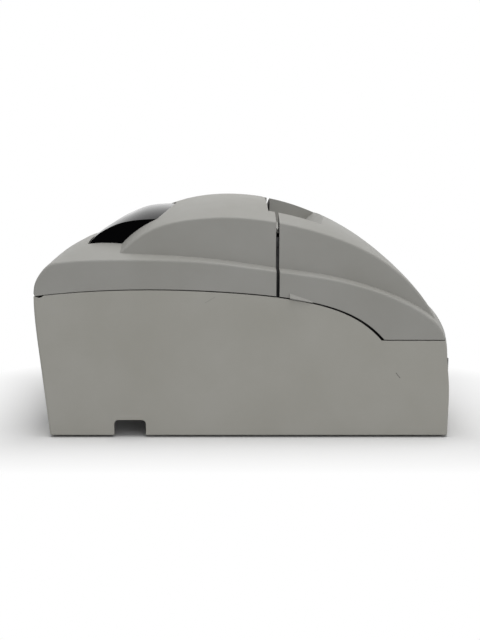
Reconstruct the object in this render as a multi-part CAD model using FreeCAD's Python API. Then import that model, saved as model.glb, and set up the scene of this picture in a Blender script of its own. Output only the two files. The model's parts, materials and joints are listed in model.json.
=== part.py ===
import FreeCAD, Part
import math
import os
from FreeCAD import Vector

os.makedirs("parts", exist_ok=True)

# Impact receipt printer for a 76 mm paper roll, all sizes in mm.
# +X runs to the front where the paper tears off, +Z is up, Z = 0 is the table.

# Overall sizes of the case
body_length = 248.0
body_height = 138.5
body_half_width = 78.0
case_bottom = 1.5
wall = 2.5
side_inset = 6.0
edge_round = 1.4
hump_round = 1.2
front_bulge = 10.0
deck_crown = 8.5
hump_crown = 12.0

# Gaps and fits
seam_gap_x = 1.5
seam_gap_z = 0.55
cover_gap = 1.9
bore_clearance = 0.05
slide_clearance = 0.3
window_clearance = 0.15
seat_gap = 0.1
glue_line = 0.05
over = 1.0
fuse_tolerance = 0.002

# Side profile of the body, as percent of the length and of the height
rear_line = [(-48.06, 20.07), (-49.11, 36.97), (-49.84, 50.54), (-50.0, 59.21), (-49.68, 64.26),
             (-48.35, 68.75), (-46.17, 72.4), (-43.55, 73.4)]
rear_lift = [0.0, 0.0, 0.0, 0.0, 0.0, 0.05, 0.22, 0.7]
ledge_line = [(-43.55, 73.4), (-38.3, 74.0), (-27.74, 74.3), (-8.35, 73.1), (6.45, 69.6), (17.94, 66.64),
              (25.77, 63.18), (31.77, 59.42), (37.1, 55.02), (41.53, 49.82)]
ledge_lift = [0.7, 1.22, 1.12, 0.6, 0.48, 0.46, 0.46, 0.46, 0.42, 0.35]
ledge_push = [0.0, 0.0, 0.0, 0.0, 0.0, 0.0, 0.15, 0.35, 0.6, 0.8]
front_line = [(41.53, 49.82), (43.55, 45.85), (44.6, 41.88), (45.4, 30.61), (45.89, 21.66), (45.97, 13.0)]
front_lift = [0.35, 0.2, 0.05, 0.0, 0.0, 0.0]
front_push = [0.8, 0.9, 1.0, 1.0, 1.0, 1.0]
rear_foot = -0.469 * body_length
front_foot = 0.4585 * body_length

# Upper edge of the raised hump, its rise to the middle and its push to the front
hump_line = [(-30.44, 76.39), (-26.25, 82.96), (-20.97, 87.87), (-14.07, 90.54), (-5.28, 91.45),
             (5.24, 89.6), (18.06, 83.9), (26.05, 78.1), (34.15, 68.6), (40.24, 57.0), (43.55, 46.6)]
hump_lift = [0.75, 0.75, 0.76, 0.89, 0.98, 1.0, 0.84, 0.6, 0.26, 0.08, 0.0]
hump_push = [0.0, 0.0, 0.0, 0.0, 0.0, 0.0, 0.0, 0.03, 0.2, 0.44, 0.8]
hump_floor = 0.46 * body_height
hump_half_width = body_half_width - side_inset
deck_power = 5
hump_power = 3

# Seam between the lower case and the two covers
seam_line = [(-52.42, 58.63), (-39.11, 61.01), (-22.98, 61.88), (-2.62, 60.36), (13.43, 56.53),
             (22.66, 51.1), (30.1, 40.95)]
seam_front_z = 0.4090 * body_height

# Paper path
roll_width = 76.0
roll_radius = 41.5
paper_y = -17.0
paper_x = 0.0456 * body_length
split_x = 0.0605 * body_length
exit_back = 1.1
exit_side_room = 4.0
exit_slope = 0.05
exit_end = 0.1550 * body_length
exit_end_lean = 1.25
exit_floor = 0.86 * body_height
lining_wall = 0.9 * wall

# Finger tabs on the sides of the front cover
tab_start = 0.0875 * body_length
tab_end = 0.1403 * body_length
tab_proud = 2.0
tab_end_proud = 0.3
tab_height = 2.9
tab_end_height = 0.9
tab_lip = 0.7
tab_end_lip = 0.3

# Smoked window over the paper roll
window_line = [(-37.9, 75.1), (-37.5, 80.9), (-35.97, 83.7), (-33.83, 86.1), (-31.69, 87.9),
               (-29.2, 89.2), (-25.93, 90.0), (-20.2, 90.4), (-17.9, 90.7)]
window_lift = [0.3, 0.3, 0.25, 0.27, 0.42, 0.62, 0.95, 1.15, 1.18]
window_bow = 10.0
window_side_room = 2.5
window_half = roll_width / 2.0 + window_side_room
window_wall = 2.0
window_foot = 0.74 * body_height

# Cover hinges
hinge_pin_radius = 0.95
barrel_radius = 2.0
rear_pivot = Vector(-0.4875 * body_length, 0.0, 0.613 * body_height)
rear_corner = 3.2
front_pivot = Vector(0.4645 * body_length, 0.0, 0.4368 * body_height)
front_corner = 5.4
front_relief_inside = 1.2
corner_gap = 0.3
knuckle = 6.0
knuckle_gap = 0.3
hinge_arm_near = 0.6
hinge_arm_far = 2.6
hinge_arm_drop = 11.0
hinge_root_bite = 1.0
rear_knuckle_y = 0.66 * body_half_width
front_knuckle_y = 13.0

# Levels of the works inside
plate_bottom = case_bottom + 1.0
plate_thickness = 1.5
plate_top = plate_bottom + plate_thickness
board_z = 12.0
board_thickness = 1.6
deck_z = 0.318 * body_height
deck_thickness = 1.2
deck_top = deck_z + deck_thickness
print_z = 0.628 * body_height
feed_z = 0.7726 * body_height
frame_side_room = 12.0
frame_half = roll_width / 2.0 + frame_side_room
frame_thickness = 1.2
frame_rise = 8.0
left_y = paper_y - frame_half
right_y = paper_y + frame_half
frame_top = feed_z + frame_rise
deck_x0 = paper_x - 19.3
deck_x1 = paper_x + 72.7

# Feed roller and the pressure roller that runs on it
feed_roller_radius = 5.5
feed_shaft_radius = 2.5
feed_roller_gap = 0.2
feed_shaft_end = 0.6
feed_x = paper_x + feed_roller_gap + feed_roller_radius
pressure_radius = 4.7
pressure_gap = 0.3
pressure_pin = 1.5
pressure_x = paper_x - pressure_gap - pressure_radius
arm_half = 4.0
arm_width = 2.0
arm_side_room = 1.0
arm_roof = 9.0
arm_roof_thickness = 1.5
arm_y = roll_width / 2.0 + arm_side_room
sleeve_count = 3
sleeve_gap = 3.0

# Tear bar
bar_start = 1.3
bar_thickness = 1.5
bar_rise = 2.0
bar_step = 1.0
saw_teeth = 40
saw_tooth = 1.0
saw_side_room = 2.0

# Gear train: feed gear, idler and motor pinion
gear_module = 1.0
gear_width = 5.0
gear_side_gap = 2.0
feed_teeth = 24
idler_teeth = 30
pinion_teeth = 12
addendum = 0.85
dedendum = 1.25
root_share = 0.36
pitch_share = 0.225
tip_share = 0.1
turn_idler = math.radians(-45.3)
turn_pinion = math.radians(-79.0)
stud_radius = 2.0
motor_shaft_radius = 1.5
motor_radius = 16.0
motor_depth = 20.0
motor_pilot = 4.0
shaft_bite = 2.0
bracket_gap = 3.0
spacer_radius = 2.5
spacer_reach = 14.0
spacer_drop = 17.0
spacer_rise = 8.8

# Carriage, its shaft, rail and belt
shaft_radius = 3.0
shaft_x = paper_x + 22.7
shaft_z = deck_top + 8.8
rail_x = paper_x + 50.7
rail_width = 2.0
rail_low = deck_top + 4.8
rail_high = deck_top + 12.8
belt_radius = 4.5
belt_thickness = 0.8
belt_height = 5.0
belt_x = paper_x + 60.7
belt_low = deck_top + 6.8
belt_top = belt_low + belt_height
pulley_inset = 7.0
pulley_stud = 1.5
flange_thickness = 0.8
flange_gap = 0.5
flange_rim = 0.5
stud_rise = 2.5
spindle_hole = 6.0
carriage_motor_radius = 17.5
carriage_motor_height = 22.0
carriage_half = 13.0
carriage_low = deck_top + 2.3
carriage_top = deck_top + 15.3
carriage_prong = 3.0
clamp_half = 5.0
belt_slot_half = 6.0
platen_depth = 4.0
platen_half_height = 7.0
head_half = 11.5
head_fins = 6
fin_thickness = 1.5
fin_depth = 1.5
head_drop = 14.0
head_x0 = paper_x + 10.7
head_x1 = paper_x + 34.7
nose_x = paper_x + 1.6
nose_half = 4.0

# Ribbon cassette and its drive
cassette_tilt = 25.8
cassette_gap = 3.5
cassette_x = feed_x + feed_roller_radius + cassette_gap
cassette_z = feed_z + 3.0
cassette_depth = 60.0
cassette_height = 13.0
cassette_side_gap = 3.0
cassette_round = 2.0
cassette_half = frame_half - cassette_side_gap
cassette_arm = 4.5
cassette_peg = 2.5
arm_inner = cassette_half - cassette_arm
ribbon_x0 = paper_x + 0.6
ribbon_thickness = 0.4
ribbon_half = 6.0
knob_x = 52.0
knob_y = paper_y + 24.0
knob_radius = 7.5
knob_height = 5.0
knob_grips = 12
grip_radius = 1.2
hub_radius = 4.0
spindle_radius = 2.0
spindle_head = 5.5
socket_depth = 6.0
bridge_half = 6.0
bridge_thickness = 1.5
bridge_low = -cassette_height - 9.0
boss_radius = 4.5

# Cable bay and its connectors
bay_front = -0.222 * body_length
bay_roof = 26.0
bay_wall = 2.0
side_space = body_half_width - wall
bay_rear = rear_foot + wall + 1.0
data_y = -0.45 * body_half_width
drawer_y = 0.1 * body_half_width
power_y = 0.45 * body_half_width
earth_y = 0.75 * body_half_width
port_z = 15.0
port_proud = 6.0
port_back = 9.0
data_half = 19.0
data_tall = 5.5
data_lip = 1.5
data_slant = 1.5
drawer_half = 6.6
drawer_tall = 6.5
power_half = 7.0
power_bore = 5.0
port_floor = 0.5
jackscrew_gap = 4.5
jackscrew_radius = 2.9
jackscrew_length = 5.0
earth_head = 3.2
earth_head_height = 2.2
earth_shank = 1.5
earth_length = 6.0
notch_x0 = -0.3185 * body_length
notch_x1 = -0.2445 * body_length
notch_top = 10.3
notch_round = 2.5

# Roll bucket and near end lever
bucket_gap = 2.0
bucket_wall = 2.0
bucket_inner = roll_radius + bucket_gap
bucket_outer = bucket_inner + bucket_wall
bucket_half = roll_width / 2.0 + 1.5
bucket_stand = 2.0
roll_x = -0.234 * body_length
roll_z = bay_roof + bay_wall + bucket_stand + bucket_outer
bucket_rim = roll_z - 12.0
rib_width = 5.0
rib_places = (-14.0, 9.0)
lever_x = roll_x - 4.0
lever_z = bucket_rim - 8.0
lever_pin = 2.0
lever_hub = 4.5
lever_half = 2.0
lever_width = 3.0
finger_reach = 16.0
finger_x = lever_x + finger_reach
chute_thickness = 2.5

# Bottom plate, board and feet
plate_x1 = front_foot - wall - 3.0
plate_half = side_space - slide_clearance
screw_radius = 1.3
screw_head = 2.8
screw_head_height = 0.9
screw_length = 8.0
boss_post = 4.0
boss_inset = 3.0
post_radius = 4.0
post_left = left_y + 4.0
post_right = right_y - 5.0
board_x0 = bay_front + bay_wall + port_back + 0.5
board_x1 = paper_x + 50.0
board_y0 = post_left + post_radius + 1.0
board_y1 = post_right - post_radius - 2.0
board_top = board_z + board_thickness
board_corner = 4.0
standoff_radius = 2.8
board_screw_radius = 2.6
board_screw_height = 1.6
foot_radius = 7.0
pad_x0 = bay_rear + 3.0
pad_length = 22.0
pad_y = 0.7 * body_half_width
pad_thickness = 3.0

# Controls on the front wall
button_y = 0.46 * body_half_width
button_z = 34.0
button_radius = 5.7
button_proud = 2.2
button_depth = 8.5
button_travel = 1.2
button_collar = 2.0
button_collar_depth = 1.5
panel_y0 = 0.31 * body_half_width
panel_y1 = 0.85 * body_half_width
panel_z0 = 24.0
panel_z1 = 46.0
panel_film = 0.6
panel_board_depth = 14.0
lamp_radius = 1.6
lamp_z = 39.0
lamp_start = 11.5
lamp_step = 5.5
lamp_proud = 1.0
key_half = 3.0
panel_boss = 2.5
panel_boss_inset = 3.5
switch_y = -0.29 * body_half_width
switch_z = 30.0
switch_sunk = 0.9
cup_half_y = 10.0
cup_half_z = 7.0
cup_depth = 14.0
cup_floor = 2.0
rim_half_y = 11.5
rim_half_z = 8.5
rim_depth = 1.2
rim_proud = 1.6
well_half_y = 8.5
well_half_z = 5.9
rocker_depth = 3.0
rocker_pin = 1.2
rocker_pin_half = 9.5
rocker_pin_room = 0.2
rocker_tilt = 9.0
rocker_points = [(-5.0, -4.3), (-5.0, 4.3), (2.5, 5.2), (4.2, 5.0), (2.6, 0.0), (4.2, -5.0), (2.5, -5.2)]


def save(shape, node):
    shape.exportStep("parts/" + node + ".step")
    print(node, len(shape.Solids), "solid", round(shape.Volume, 1), "mm3")


def box(x0, x1, y0, y1, z0, z1):
    return Part.makeBox(x1 - x0, y1 - y0, z1 - z0, Vector(x0, y0, z0))


def cyl_x(y, z, radius, x0, x1):
    return Part.makeCylinder(radius, x1 - x0, Vector(x0, y, z), Vector(1, 0, 0))


def cyl_y(x, z, radius, y0, y1):
    return Part.makeCylinder(radius, y1 - y0, Vector(x, y0, z), Vector(0, 1, 0))


def cyl_z(x, y, radius, z0, z1):
    return Part.makeCylinder(radius, z1 - z0, Vector(x, y, z0), Vector(0, 0, 1))


def side_prism(points, y0, y1):
    corners = [Vector(x, y0, z) for x, z in points]
    face = Part.Face(Part.makePolygon(corners + [corners[0]]))
    return face.extrude(Vector(0, y1 - y0, 0))


def cross_prism(points, x0, x1):
    corners = [Vector(x0, y, z) for y, z in points]
    face = Part.Face(Part.makePolygon(corners + [corners[0]]))
    return face.extrude(Vector(x1 - x0, 0, 0))


def fused(shapes):
    whole = shapes[0]
    if len(shapes) > 1:
        whole = whole.fuse(shapes[1:])
    return whole.removeSplitter()


def group(shapes):
    return Part.makeCompound(shapes)


def curve(points):
    spline = Part.BSplineCurve()
    spline.interpolate([Vector(*p) for p in points])
    return spline.toShape()


def sized(table):
    return [(px * body_length / 100.0, pz * body_height / 100.0) for px, pz in table]


def inward(points, depth):
    moved = []
    for i, (x, z) in enumerate(points):
        x0, z0 = points[max(i - 1, 0)]
        x1, z1 = points[min(i + 1, len(points) - 1)]
        span = math.hypot(x1 - x0, z1 - z0)
        moved.append((x + depth * (z1 - z0) / span, z - depth * (x1 - x0) / span))
    return moved


def middle(edge):
    return edge.valueAt((edge.FirstParameter + edge.LastParameter) / 2.0)


def bulged(points, push, lift, lift_size, y, half, power):
    plan = front_bulge * (1.0 - (y / half) ** 2)
    arch = lift_size * (1.0 - abs(y / half) ** power)
    return [(x + plan * b, y, z + arch * c) for (x, z), b, c in zip(points, push, lift)]


def stations(half):
    return [half * f for f in (-1.0, -0.86, -0.6, -0.3, 0.0, 0.3, 0.6, 0.86, 1.0)]


def closed_down(points, low):
    """Wire of a curve through the points and the three lines that close it at the level low."""
    start = Vector(*points[0])
    end = Vector(*points[-1])
    low_start = Vector(start.x, start.y, low)
    low_end = Vector(end.x, end.y, low)
    down = Part.makeLine(end, low_end)
    across = Part.makeLine(low_end, low_start)
    up = Part.makeLine(low_start, start)
    return Part.Wire([curve(points), down, across, up])


def body_blank(depth, floor):
    half = body_half_width - depth
    rear = inward(sized(rear_line), depth)
    ledge = inward(sized(ledge_line), depth)
    front = inward(sized(front_line), depth)
    rear[-1] = ledge[0]
    front[0] = ledge[-1]
    rear = [(rear_foot + depth, floor)] + rear
    front = front + [(front_foot - depth, floor)]
    wires = []
    for y in stations(half):
        r = bulged(rear, [0.0] * len(rear), [0.0] + rear_lift, deck_crown, y, half, deck_power)
        t = bulged(ledge, ledge_push, ledge_lift, deck_crown, y, half, deck_power)
        f = bulged(front, front_push + [1.0], front_lift + [0.0], deck_crown, y, half, deck_power)
        base = Part.makeLine(Vector(*f[-1]), Vector(*r[0]))
        wires.append(Part.Wire([curve(r + t[1:]), curve(f), base]))
    return Part.makeLoft(wires, True, False)


def hump_blank(depth):
    half = hump_half_width - depth
    top = inward(sized(hump_line), depth)
    wires = []
    for y in stations(half):
        points = bulged(top, hump_push, hump_lift, hump_crown, y, half, hump_power)
        wires.append(closed_down(points, hump_floor))
    return Part.makeLoft(wires, True, False)


def hump_arch(y):
    return 1.0 - abs(y / hump_half_width) ** hump_power


def window_blank(depth):
    half = window_half - depth
    top = inward(sized(window_line), depth)
    top[-1] = (top[-1][0] + window_bow, top[-1][1])
    wires = []
    for f in (-1.0, -0.5, 0.0, 0.5, 1.0):
        y = paper_y + f * half
        arch = hump_crown * (hump_arch(y) - hump_arch(paper_y - window_half))
        points = [(x, y, z + arch * c) for (x, z), c in zip(top, window_lift)]
        wires.append(closed_down(points, window_foot - depth))
    return Part.makeLoft(wires, True, False)


def above_seam(dx, dz):
    points = [(x + dx, z + dz) for x, z in sized(seam_line)]
    half = body_half_width * 1.3
    end_x = body_length * 0.55
    first = Vector(points[0][0], -half, points[0][1])
    last = Vector(points[-1][0], -half, points[-1][1])
    ahead = Vector(end_x, -half, seam_front_z + dz)
    ahead_top = Vector(end_x, -half, high)
    first_top = Vector(first.x, -half, high)
    corners = [last, ahead, ahead_top, first_top, first]
    edges = [curve([(x, -half, z) for x, z in points])]
    edges += [Part.makeLine(a, b) for a, b in zip(corners, corners[1:])]
    return Part.Face(Part.Wire(edges)).extrude(Vector(0, 2.0 * half, 0))


def seam_height(x):
    points = curve([(px, 0.0, pz) for px, pz in sized(seam_line)]).discretize(200)
    for a, b in zip(points, points[1:]):
        if a.x <= x <= b.x:
            return a.z + (b.z - a.z) * (x - a.x) / (b.x - a.x)
    return seam_front_z


def front_wall_x(y, z):
    table = sized(front_line) + [(front_foot, case_bottom)]
    points = curve([(px, 0.0, pz) for px, pz in table]).discretize(200)
    push = front_bulge * (1.0 - (y / body_half_width) ** 2)
    for a, b in zip(points, points[1:]):
        if b.z <= z <= a.z:
            return a.x + (b.x - a.x) * (z - a.z) / (b.z - a.z) + push
    return points[-1].x + push


# Blanks of the outer form and of the space inside it
far = body_half_width * 1.3
high = body_height * 1.3
body = body_blank(0.0, case_bottom)
body_edges = [e for e in body.Edges if abs(abs(middle(e).y) - body_half_width) < 0.01]
body = body.makeFillet(edge_round, [e for e in body_edges if middle(e).z > 0.1 * body_height])
body_space = body_blank(wall, case_bottom - 4.0 * wall)
hump = hump_blank(0.0)
hump_edges = [e for e in hump.Edges if abs(abs(middle(e).y) - hump_half_width) < 0.01]
hump_edges = [e for e in hump_edges if middle(e).z > 0.7 * body_height and e.Length > 0.5 * body_length]
hump = hump.makeFillet(hump_round, hump_edges)
hump_space = hump_blank(wall)
outer = body.fuse([hump], fuse_tolerance)
inner = body_space.fuse(hump_space)
covers = outer.cut(inner).common(above_seam(seam_gap_x, seam_gap_z))
rear_end = split_x - cover_gap / 2.0
front_start = split_x + cover_gap / 2.0


def knuckle_spans(y):
    reach = knuckle / 2.0
    step = knuckle + knuckle_gap
    return [(y - reach - step, y - reach - knuckle_gap), (y + reach + knuckle_gap, y + reach + step)]


def outside_box(pivot, inward_x, y0, y1):
    """Box from the pivot outwards and down, where the cover's corner passes the case."""
    x0, x1 = sorted([pivot.x, pivot.x - inward_x * far])
    return box(x0, x1, y0, y1, 0, pivot.z)


def hinge(case, cover, pivot, knuckle_y, corner, inward_x, relief_inside):
    """Turn the meeting edge of case and cover into a pinned hinge about the pivot."""
    relief = cyl_y(pivot.x, pivot.z, corner + corner_gap, -far, far)
    x0, x1 = sorted([pivot.x + inward_x * relief_inside, pivot.x - inward_x * far])
    case = case.cut(relief.common(box(x0, x1, -far, far, 0, high)))
    cover = cover.cut(outside_box(pivot, inward_x, -far, far).cut(cyl_y(pivot.x, pivot.z, corner, -far, far)))
    arm_x0, arm_x1 = sorted([pivot.x + inward_x * hinge_arm_near, pivot.x + inward_x * hinge_arm_far])
    root_reach = corner + hinge_root_bite
    root_x0, root_x1 = sorted([pivot.x + inward_x * hinge_arm_far, pivot.x - inward_x * root_reach])
    web_x0, web_x1 = sorted([pivot.x, pivot.x - inward_x * corner])
    arm_low = pivot.z - hinge_arm_drop
    root_top = pivot.z - corner - corner_gap
    pins = []
    for y in (-knuckle_y, knuckle_y):
        spans = knuckle_spans(y)
        low, top = spans[0][0], spans[1][1]
        for y0, y1 in spans:
            near0, near1 = y0 - knuckle_gap, y1 + knuckle_gap
            cover = cover.cut(cyl_y(pivot.x, pivot.z, barrel_radius + corner_gap, near0, near1))
            cover = cover.cut(outside_box(pivot, inward_x, near0, near1))
            arm = box(arm_x0, arm_x1, y0, y1, arm_low, pivot.z)
            root = box(root_x0, root_x1, y0, y1, arm_low, root_top).common(body)
            case = case.fuse([cyl_y(pivot.x, pivot.z, barrel_radius, y0, y1), arm, root])
        y0, y1 = y - knuckle / 2.0, y + knuckle / 2.0
        web = box(web_x0, web_x1, y0, y1, pivot.z, pivot.z + barrel_radius).common(outer)
        cover = cover.fuse([cyl_y(pivot.x, pivot.z, barrel_radius, y0, y1), web])
        cover = cover.cut(cyl_y(pivot.x, pivot.z, hinge_pin_radius + bore_clearance, low, top))
        case = case.cut(cyl_y(pivot.x, pivot.z, hinge_pin_radius, low, top))
        pins.append(cyl_y(pivot.x, pivot.z, hinge_pin_radius, low, top))
    return case, cover, pins


# Lower case and covers with their two hinges
case = body.cut(body_space).cut(above_seam(0.0, 0.0))
roll_cover = covers.common(box(-body_length, rear_end, -far, far, 0, high))
front_cover = covers.common(box(front_start, body_length, -far, far, 0, high))
case, roll_cover, rear_pins = hinge(case, roll_cover, rear_pivot, rear_knuckle_y, rear_corner, 1.0, far)
case, front_cover, front_pins = hinge(case, front_cover, front_pivot, front_knuckle_y, front_corner, -1.0,
                                      front_relief_inside)
save(group(front_pins + rear_pins), "hinge_pins")

# Paper exit: a sloping scoop in the front cover and a notch in the roll cover
exit_rear_x = paper_x - exit_back
exit_half = roll_width / 2.0 + exit_side_room


def scoop(grow):
    low = exit_floor - grow
    foot_x = exit_end + grow
    foot_z = low + exit_slope * (foot_x - front_start)
    end_x = foot_x + exit_end_lean * (high - foot_z)
    points = [(front_start, low), (foot_x, foot_z), (end_x, high), (exit_rear_x, high)]
    points.append((exit_rear_x, low))
    return side_prism(points, paper_y - exit_half - grow, paper_y + exit_half + grow)


front_zone = box(front_start, body_length, -far, far, 0, high)
lining = scoop(lining_wall).common(front_zone).common(hump)
front_cover = front_cover.fuse(lining).cut(scoop(0.0))
roll_cover = roll_cover.cut(scoop(0.0))

# Finger tabs on both sides of the front cover
for side in (-1.0, 1.0):
    root = side * (body_half_width - 0.5 * wall)
    face = side * body_half_width
    ends = []
    for x, proud, lip, rise in ((tab_start, tab_proud, tab_lip, tab_height),
                                (tab_end, tab_end_proud, tab_end_lip, tab_end_height)):
        z = seam_height(x) + seam_gap_z
        tip = face + side * proud
        section = [(root, z), (tip, z), (tip, z + lip), (face, z + rise), (root, z + rise)]
        corners = [Vector(x, py, pz) for py, pz in section]
        ends.append(Part.makePolygon(corners + [corners[0]]))
    front_cover = front_cover.fuse(Part.makeLoft(ends, True, True))
save(front_cover, "front_cover")

# Smoked roll window and its opening in the roll cover
def bowed_plan(rear_x, edge, gap):
    """Upright block whose front side bows forwards in the middle, as the window's front edge does."""
    front_x = sized(window_line)[-1][0] + gap
    corner_x = front_x - window_bow
    y0, y1 = paper_y - edge, paper_y + edge
    bow = Part.Arc(Vector(corner_x, y0, 0), Vector(front_x, paper_y, 0), Vector(corner_x, y1, 0)).toShape()
    corners = [Vector(corner_x, y1, 0), Vector(rear_x, y1, 0), Vector(rear_x, y0, 0), Vector(corner_x, y0, 0)]
    lines = [Part.makeLine(a, b) for a, b in zip(corners, corners[1:])]
    return Part.Face(Part.Wire([bow] + lines)).extrude(Vector(0, 0, high))


window = window_blank(0.0).cut(window_blank(window_wall))
window_rear = window.optimalBoundingBox().XMin - window_clearance
window = window.common(bowed_plan(window_rear, window_half, 0.0))
roll_cover = roll_cover.cut(bowed_plan(window_rear, window_half + window_clearance, window_clearance))
save(roll_cover, "roll_cover")
save(window, "roll_window")

# Pressure roller that the roll cover carries
bracket_x0 = pressure_x - arm_half
bracket_x1 = exit_rear_x - slide_clearance
roof_z = feed_z + arm_roof
arm_shapes = [box(bracket_x0, bracket_x1, paper_y - arm_y, paper_y + arm_y, roof_z, high)]
for side in (-1.0, 1.0):
    y0, y1 = sorted([paper_y + side * arm_y, paper_y + side * (arm_y - arm_width)])
    arm_shapes.append(box(bracket_x0, pressure_x + arm_half, y0, y1, feed_z - arm_half, roof_z + over))
bracket = fused(arm_shapes).common(hump_blank(wall + seat_gap))
bracket = bracket.cut(cyl_y(pressure_x, feed_z, pressure_pin + bore_clearance, -far, far))
hollow_y = arm_y - arm_width
hollow_x0 = bracket_x0 + arm_width
hollow_x1 = exit_rear_x - arm_width
hollow = box(hollow_x0, hollow_x1, paper_y - hollow_y, paper_y + hollow_y, roof_z + arm_roof_thickness, high)
save(bracket.cut(hollow), "pressure_bracket")
save(cyl_y(pressure_x, feed_z, pressure_pin, paper_y - arm_y, paper_y + arm_y), "pressure_shaft")
sleeve_length = (2.0 * hollow_y - (sleeve_count + 1) * sleeve_gap) / sleeve_count


def sleeve_row(x, radius, bore):
    """Sleeves side by side on one shaft, across the paper."""
    row = []
    for i in range(sleeve_count):
        y0 = paper_y - hollow_y + sleeve_gap + i * (sleeve_length + sleeve_gap)
        sleeve = cyl_y(x, feed_z, radius, y0, y0 + sleeve_length)
        row.append(sleeve.cut(cyl_y(x, feed_z, bore, y0, y0 + sleeve_length)))
    return group(row)


save(sleeve_row(pressure_x, pressure_radius, pressure_pin), "pressure_sleeves")
save(sleeve_row(feed_x, feed_roller_radius, feed_shaft_radius), "feed_rubbers")

# Gear train on the right frame plate
gear_y = right_y + frame_thickness + gear_side_gap
bracket_y = gear_y + gear_width + bracket_gap
bracket_back = bracket_y + frame_thickness
reach_idler = gear_module * (feed_teeth + idler_teeth) / 2.0
idler_x = feed_x + reach_idler * math.cos(turn_idler)
idler_z = feed_z + reach_idler * math.sin(turn_idler)
reach_pinion = gear_module * (idler_teeth + pinion_teeth) / 2.0
pinion_x = idler_x + reach_pinion * math.cos(turn_pinion)
pinion_z = idler_z + reach_pinion * math.sin(turn_pinion)


def gear(x, z, teeth, tooth_angle, bore):
    radius = gear_module * teeth / 2.0
    root = radius - dedendum * gear_module
    tip = radius + addendum * gear_module
    pitch = 2.0 * math.pi / teeth
    rim = [(-root_share, root), (-pitch_share, radius), (-tip_share, tip)]
    rim += [(tip_share, tip), (pitch_share, radius), (root_share, root)]
    points = []
    for i in range(teeth):
        for share, r in rim:
            angle = tooth_angle + (i + share) * pitch
            points.append((x + r * math.cos(angle), z + r * math.sin(angle)))
    disc = side_prism(points, gear_y, gear_y + gear_width)
    return disc.cut(cyl_y(x, z, bore, gear_y - over, gear_y + gear_width + over))


idler_pitch = 2.0 * math.pi / idler_teeth
pinion_pitch = 2.0 * math.pi / pinion_teeth
idler_tooth = turn_idler + math.pi + idler_pitch / 2.0
mesh_share = ((turn_pinion - idler_tooth) % idler_pitch) / idler_pitch
pinion_tooth = turn_pinion + math.pi + mesh_share * pinion_pitch + pinion_pitch / 2.0
save(gear(feed_x, feed_z, feed_teeth, turn_idler, feed_shaft_radius), "feed_gear")
save(gear(idler_x, idler_z, idler_teeth, idler_tooth, stud_radius + bore_clearance), "idler_gear")
pinion = gear(pinion_x, pinion_z, pinion_teeth, pinion_tooth, motor_shaft_radius)
motor_spindle = cyl_y(pinion_x, pinion_z, motor_shaft_radius, gear_y - 0.5, bracket_back + shaft_bite)
save(fused([pinion, motor_spindle]), "feed_pinion")
feed_shaft = cyl_y(feed_x, feed_z, feed_shaft_radius, left_y - frame_thickness - feed_shaft_end,
                   gear_y + gear_width + over)
save(feed_shaft, "feed_shaft")

# Motor plate on its spacers, with the feed motor and the idler's stud
spacer_low = deck_top + spacer_rise
spacer_places = [(pinion_x - spacer_reach, spacer_low), (pinion_x + spacer_reach, spacer_low),
                 (idler_x - spacer_reach, idler_z - spacer_drop)]
spacers = [cyl_y(x, z, spacer_radius, right_y + frame_thickness, bracket_y) for x, z in spacer_places]
save(group(spacers), "bracket_spacers")
plate_low = deck_top + 4.8
plate_points = [(pinion_x - 20.0, plate_low), (pinion_x + 18.0, plate_low), (pinion_x + 18.0, pinion_z + 3.0),
                (idler_x + 10.0, idler_z + 6.0), (idler_x - 8.0, idler_z + 6.0),
                (idler_x - 18.0, idler_z - 10.0), (pinion_x - 22.0, pinion_z - 7.0)]
motor_plate = side_prism(plate_points, bracket_y, bracket_back)
motor_plate = motor_plate.cut(cyl_y(pinion_x, pinion_z, motor_pilot, bracket_y - over, bracket_back + over))
motor_plate = motor_plate.cut(cyl_y(idler_x, idler_z, stud_radius, bracket_y - over, bracket_back + over))
save(motor_plate, "motor_plate")
feed_motor = cyl_y(pinion_x, pinion_z, motor_radius, bracket_back, bracket_back + motor_depth)
spindle_bore = cyl_y(pinion_x, pinion_z, motor_shaft_radius + bore_clearance, bracket_y,
                     bracket_y + 2.0 * shaft_bite)
save(feed_motor.cut(spindle_bore), "feed_motor")
save(cyl_y(idler_x, idler_z, stud_radius, right_y, bracket_back), "gear_stud")

# Frame plates of the print works
shoulder_z = print_z - 5.0
frame_points = [(deck_x0, deck_top), (deck_x1, deck_top), (deck_x1, deck_top + 16.0),
                (paper_x + 38.7, shoulder_z), (paper_x + 16.0, frame_top), (paper_x - 9.3, frame_top),
                (deck_x0, shoulder_z)]


def frame_plate(y0):
    y1 = y0 + frame_thickness
    plate = side_prism(frame_points, y0, y1)
    plate = plate.cut(cyl_y(shaft_x, shaft_z, shaft_radius, y0 - over, y1 + over))
    return plate.cut(cyl_y(feed_x, feed_z, feed_shaft_radius + bore_clearance, y0 - over, y1 + over))


stud_hole = cyl_y(idler_x, idler_z, stud_radius, right_y - over, right_y + frame_thickness + over)
save(frame_plate(left_y - frame_thickness), "left_frame")
save(frame_plate(right_y).cut(stud_hole), "right_frame")

# Tear bar with a saw edge
bar_x0 = paper_x + bar_start
bar_foot = feed_z + feed_roller_radius + slide_clearance
bar_low = frame_top + bar_step
bar_high = exit_floor + bar_rise
saw_half = roll_width / 2.0 + saw_side_room
saw_step = 2.0 * saw_half / saw_teeth
saw_root = bar_high - saw_tooth
saw = [(left_y, bar_foot), (right_y, bar_foot), (right_y, bar_low), (paper_y + saw_half, bar_low)]
for i in range(saw_teeth):
    y = paper_y + saw_half - i * saw_step
    saw += [(y, saw_root), (y - saw_step / 2.0, bar_high)]
saw += [(paper_y - saw_half, saw_root), (paper_y - saw_half, bar_low), (left_y, bar_low)]
save(cross_prism(saw, bar_x0, bar_x0 + bar_thickness), "tear_bar")

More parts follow.
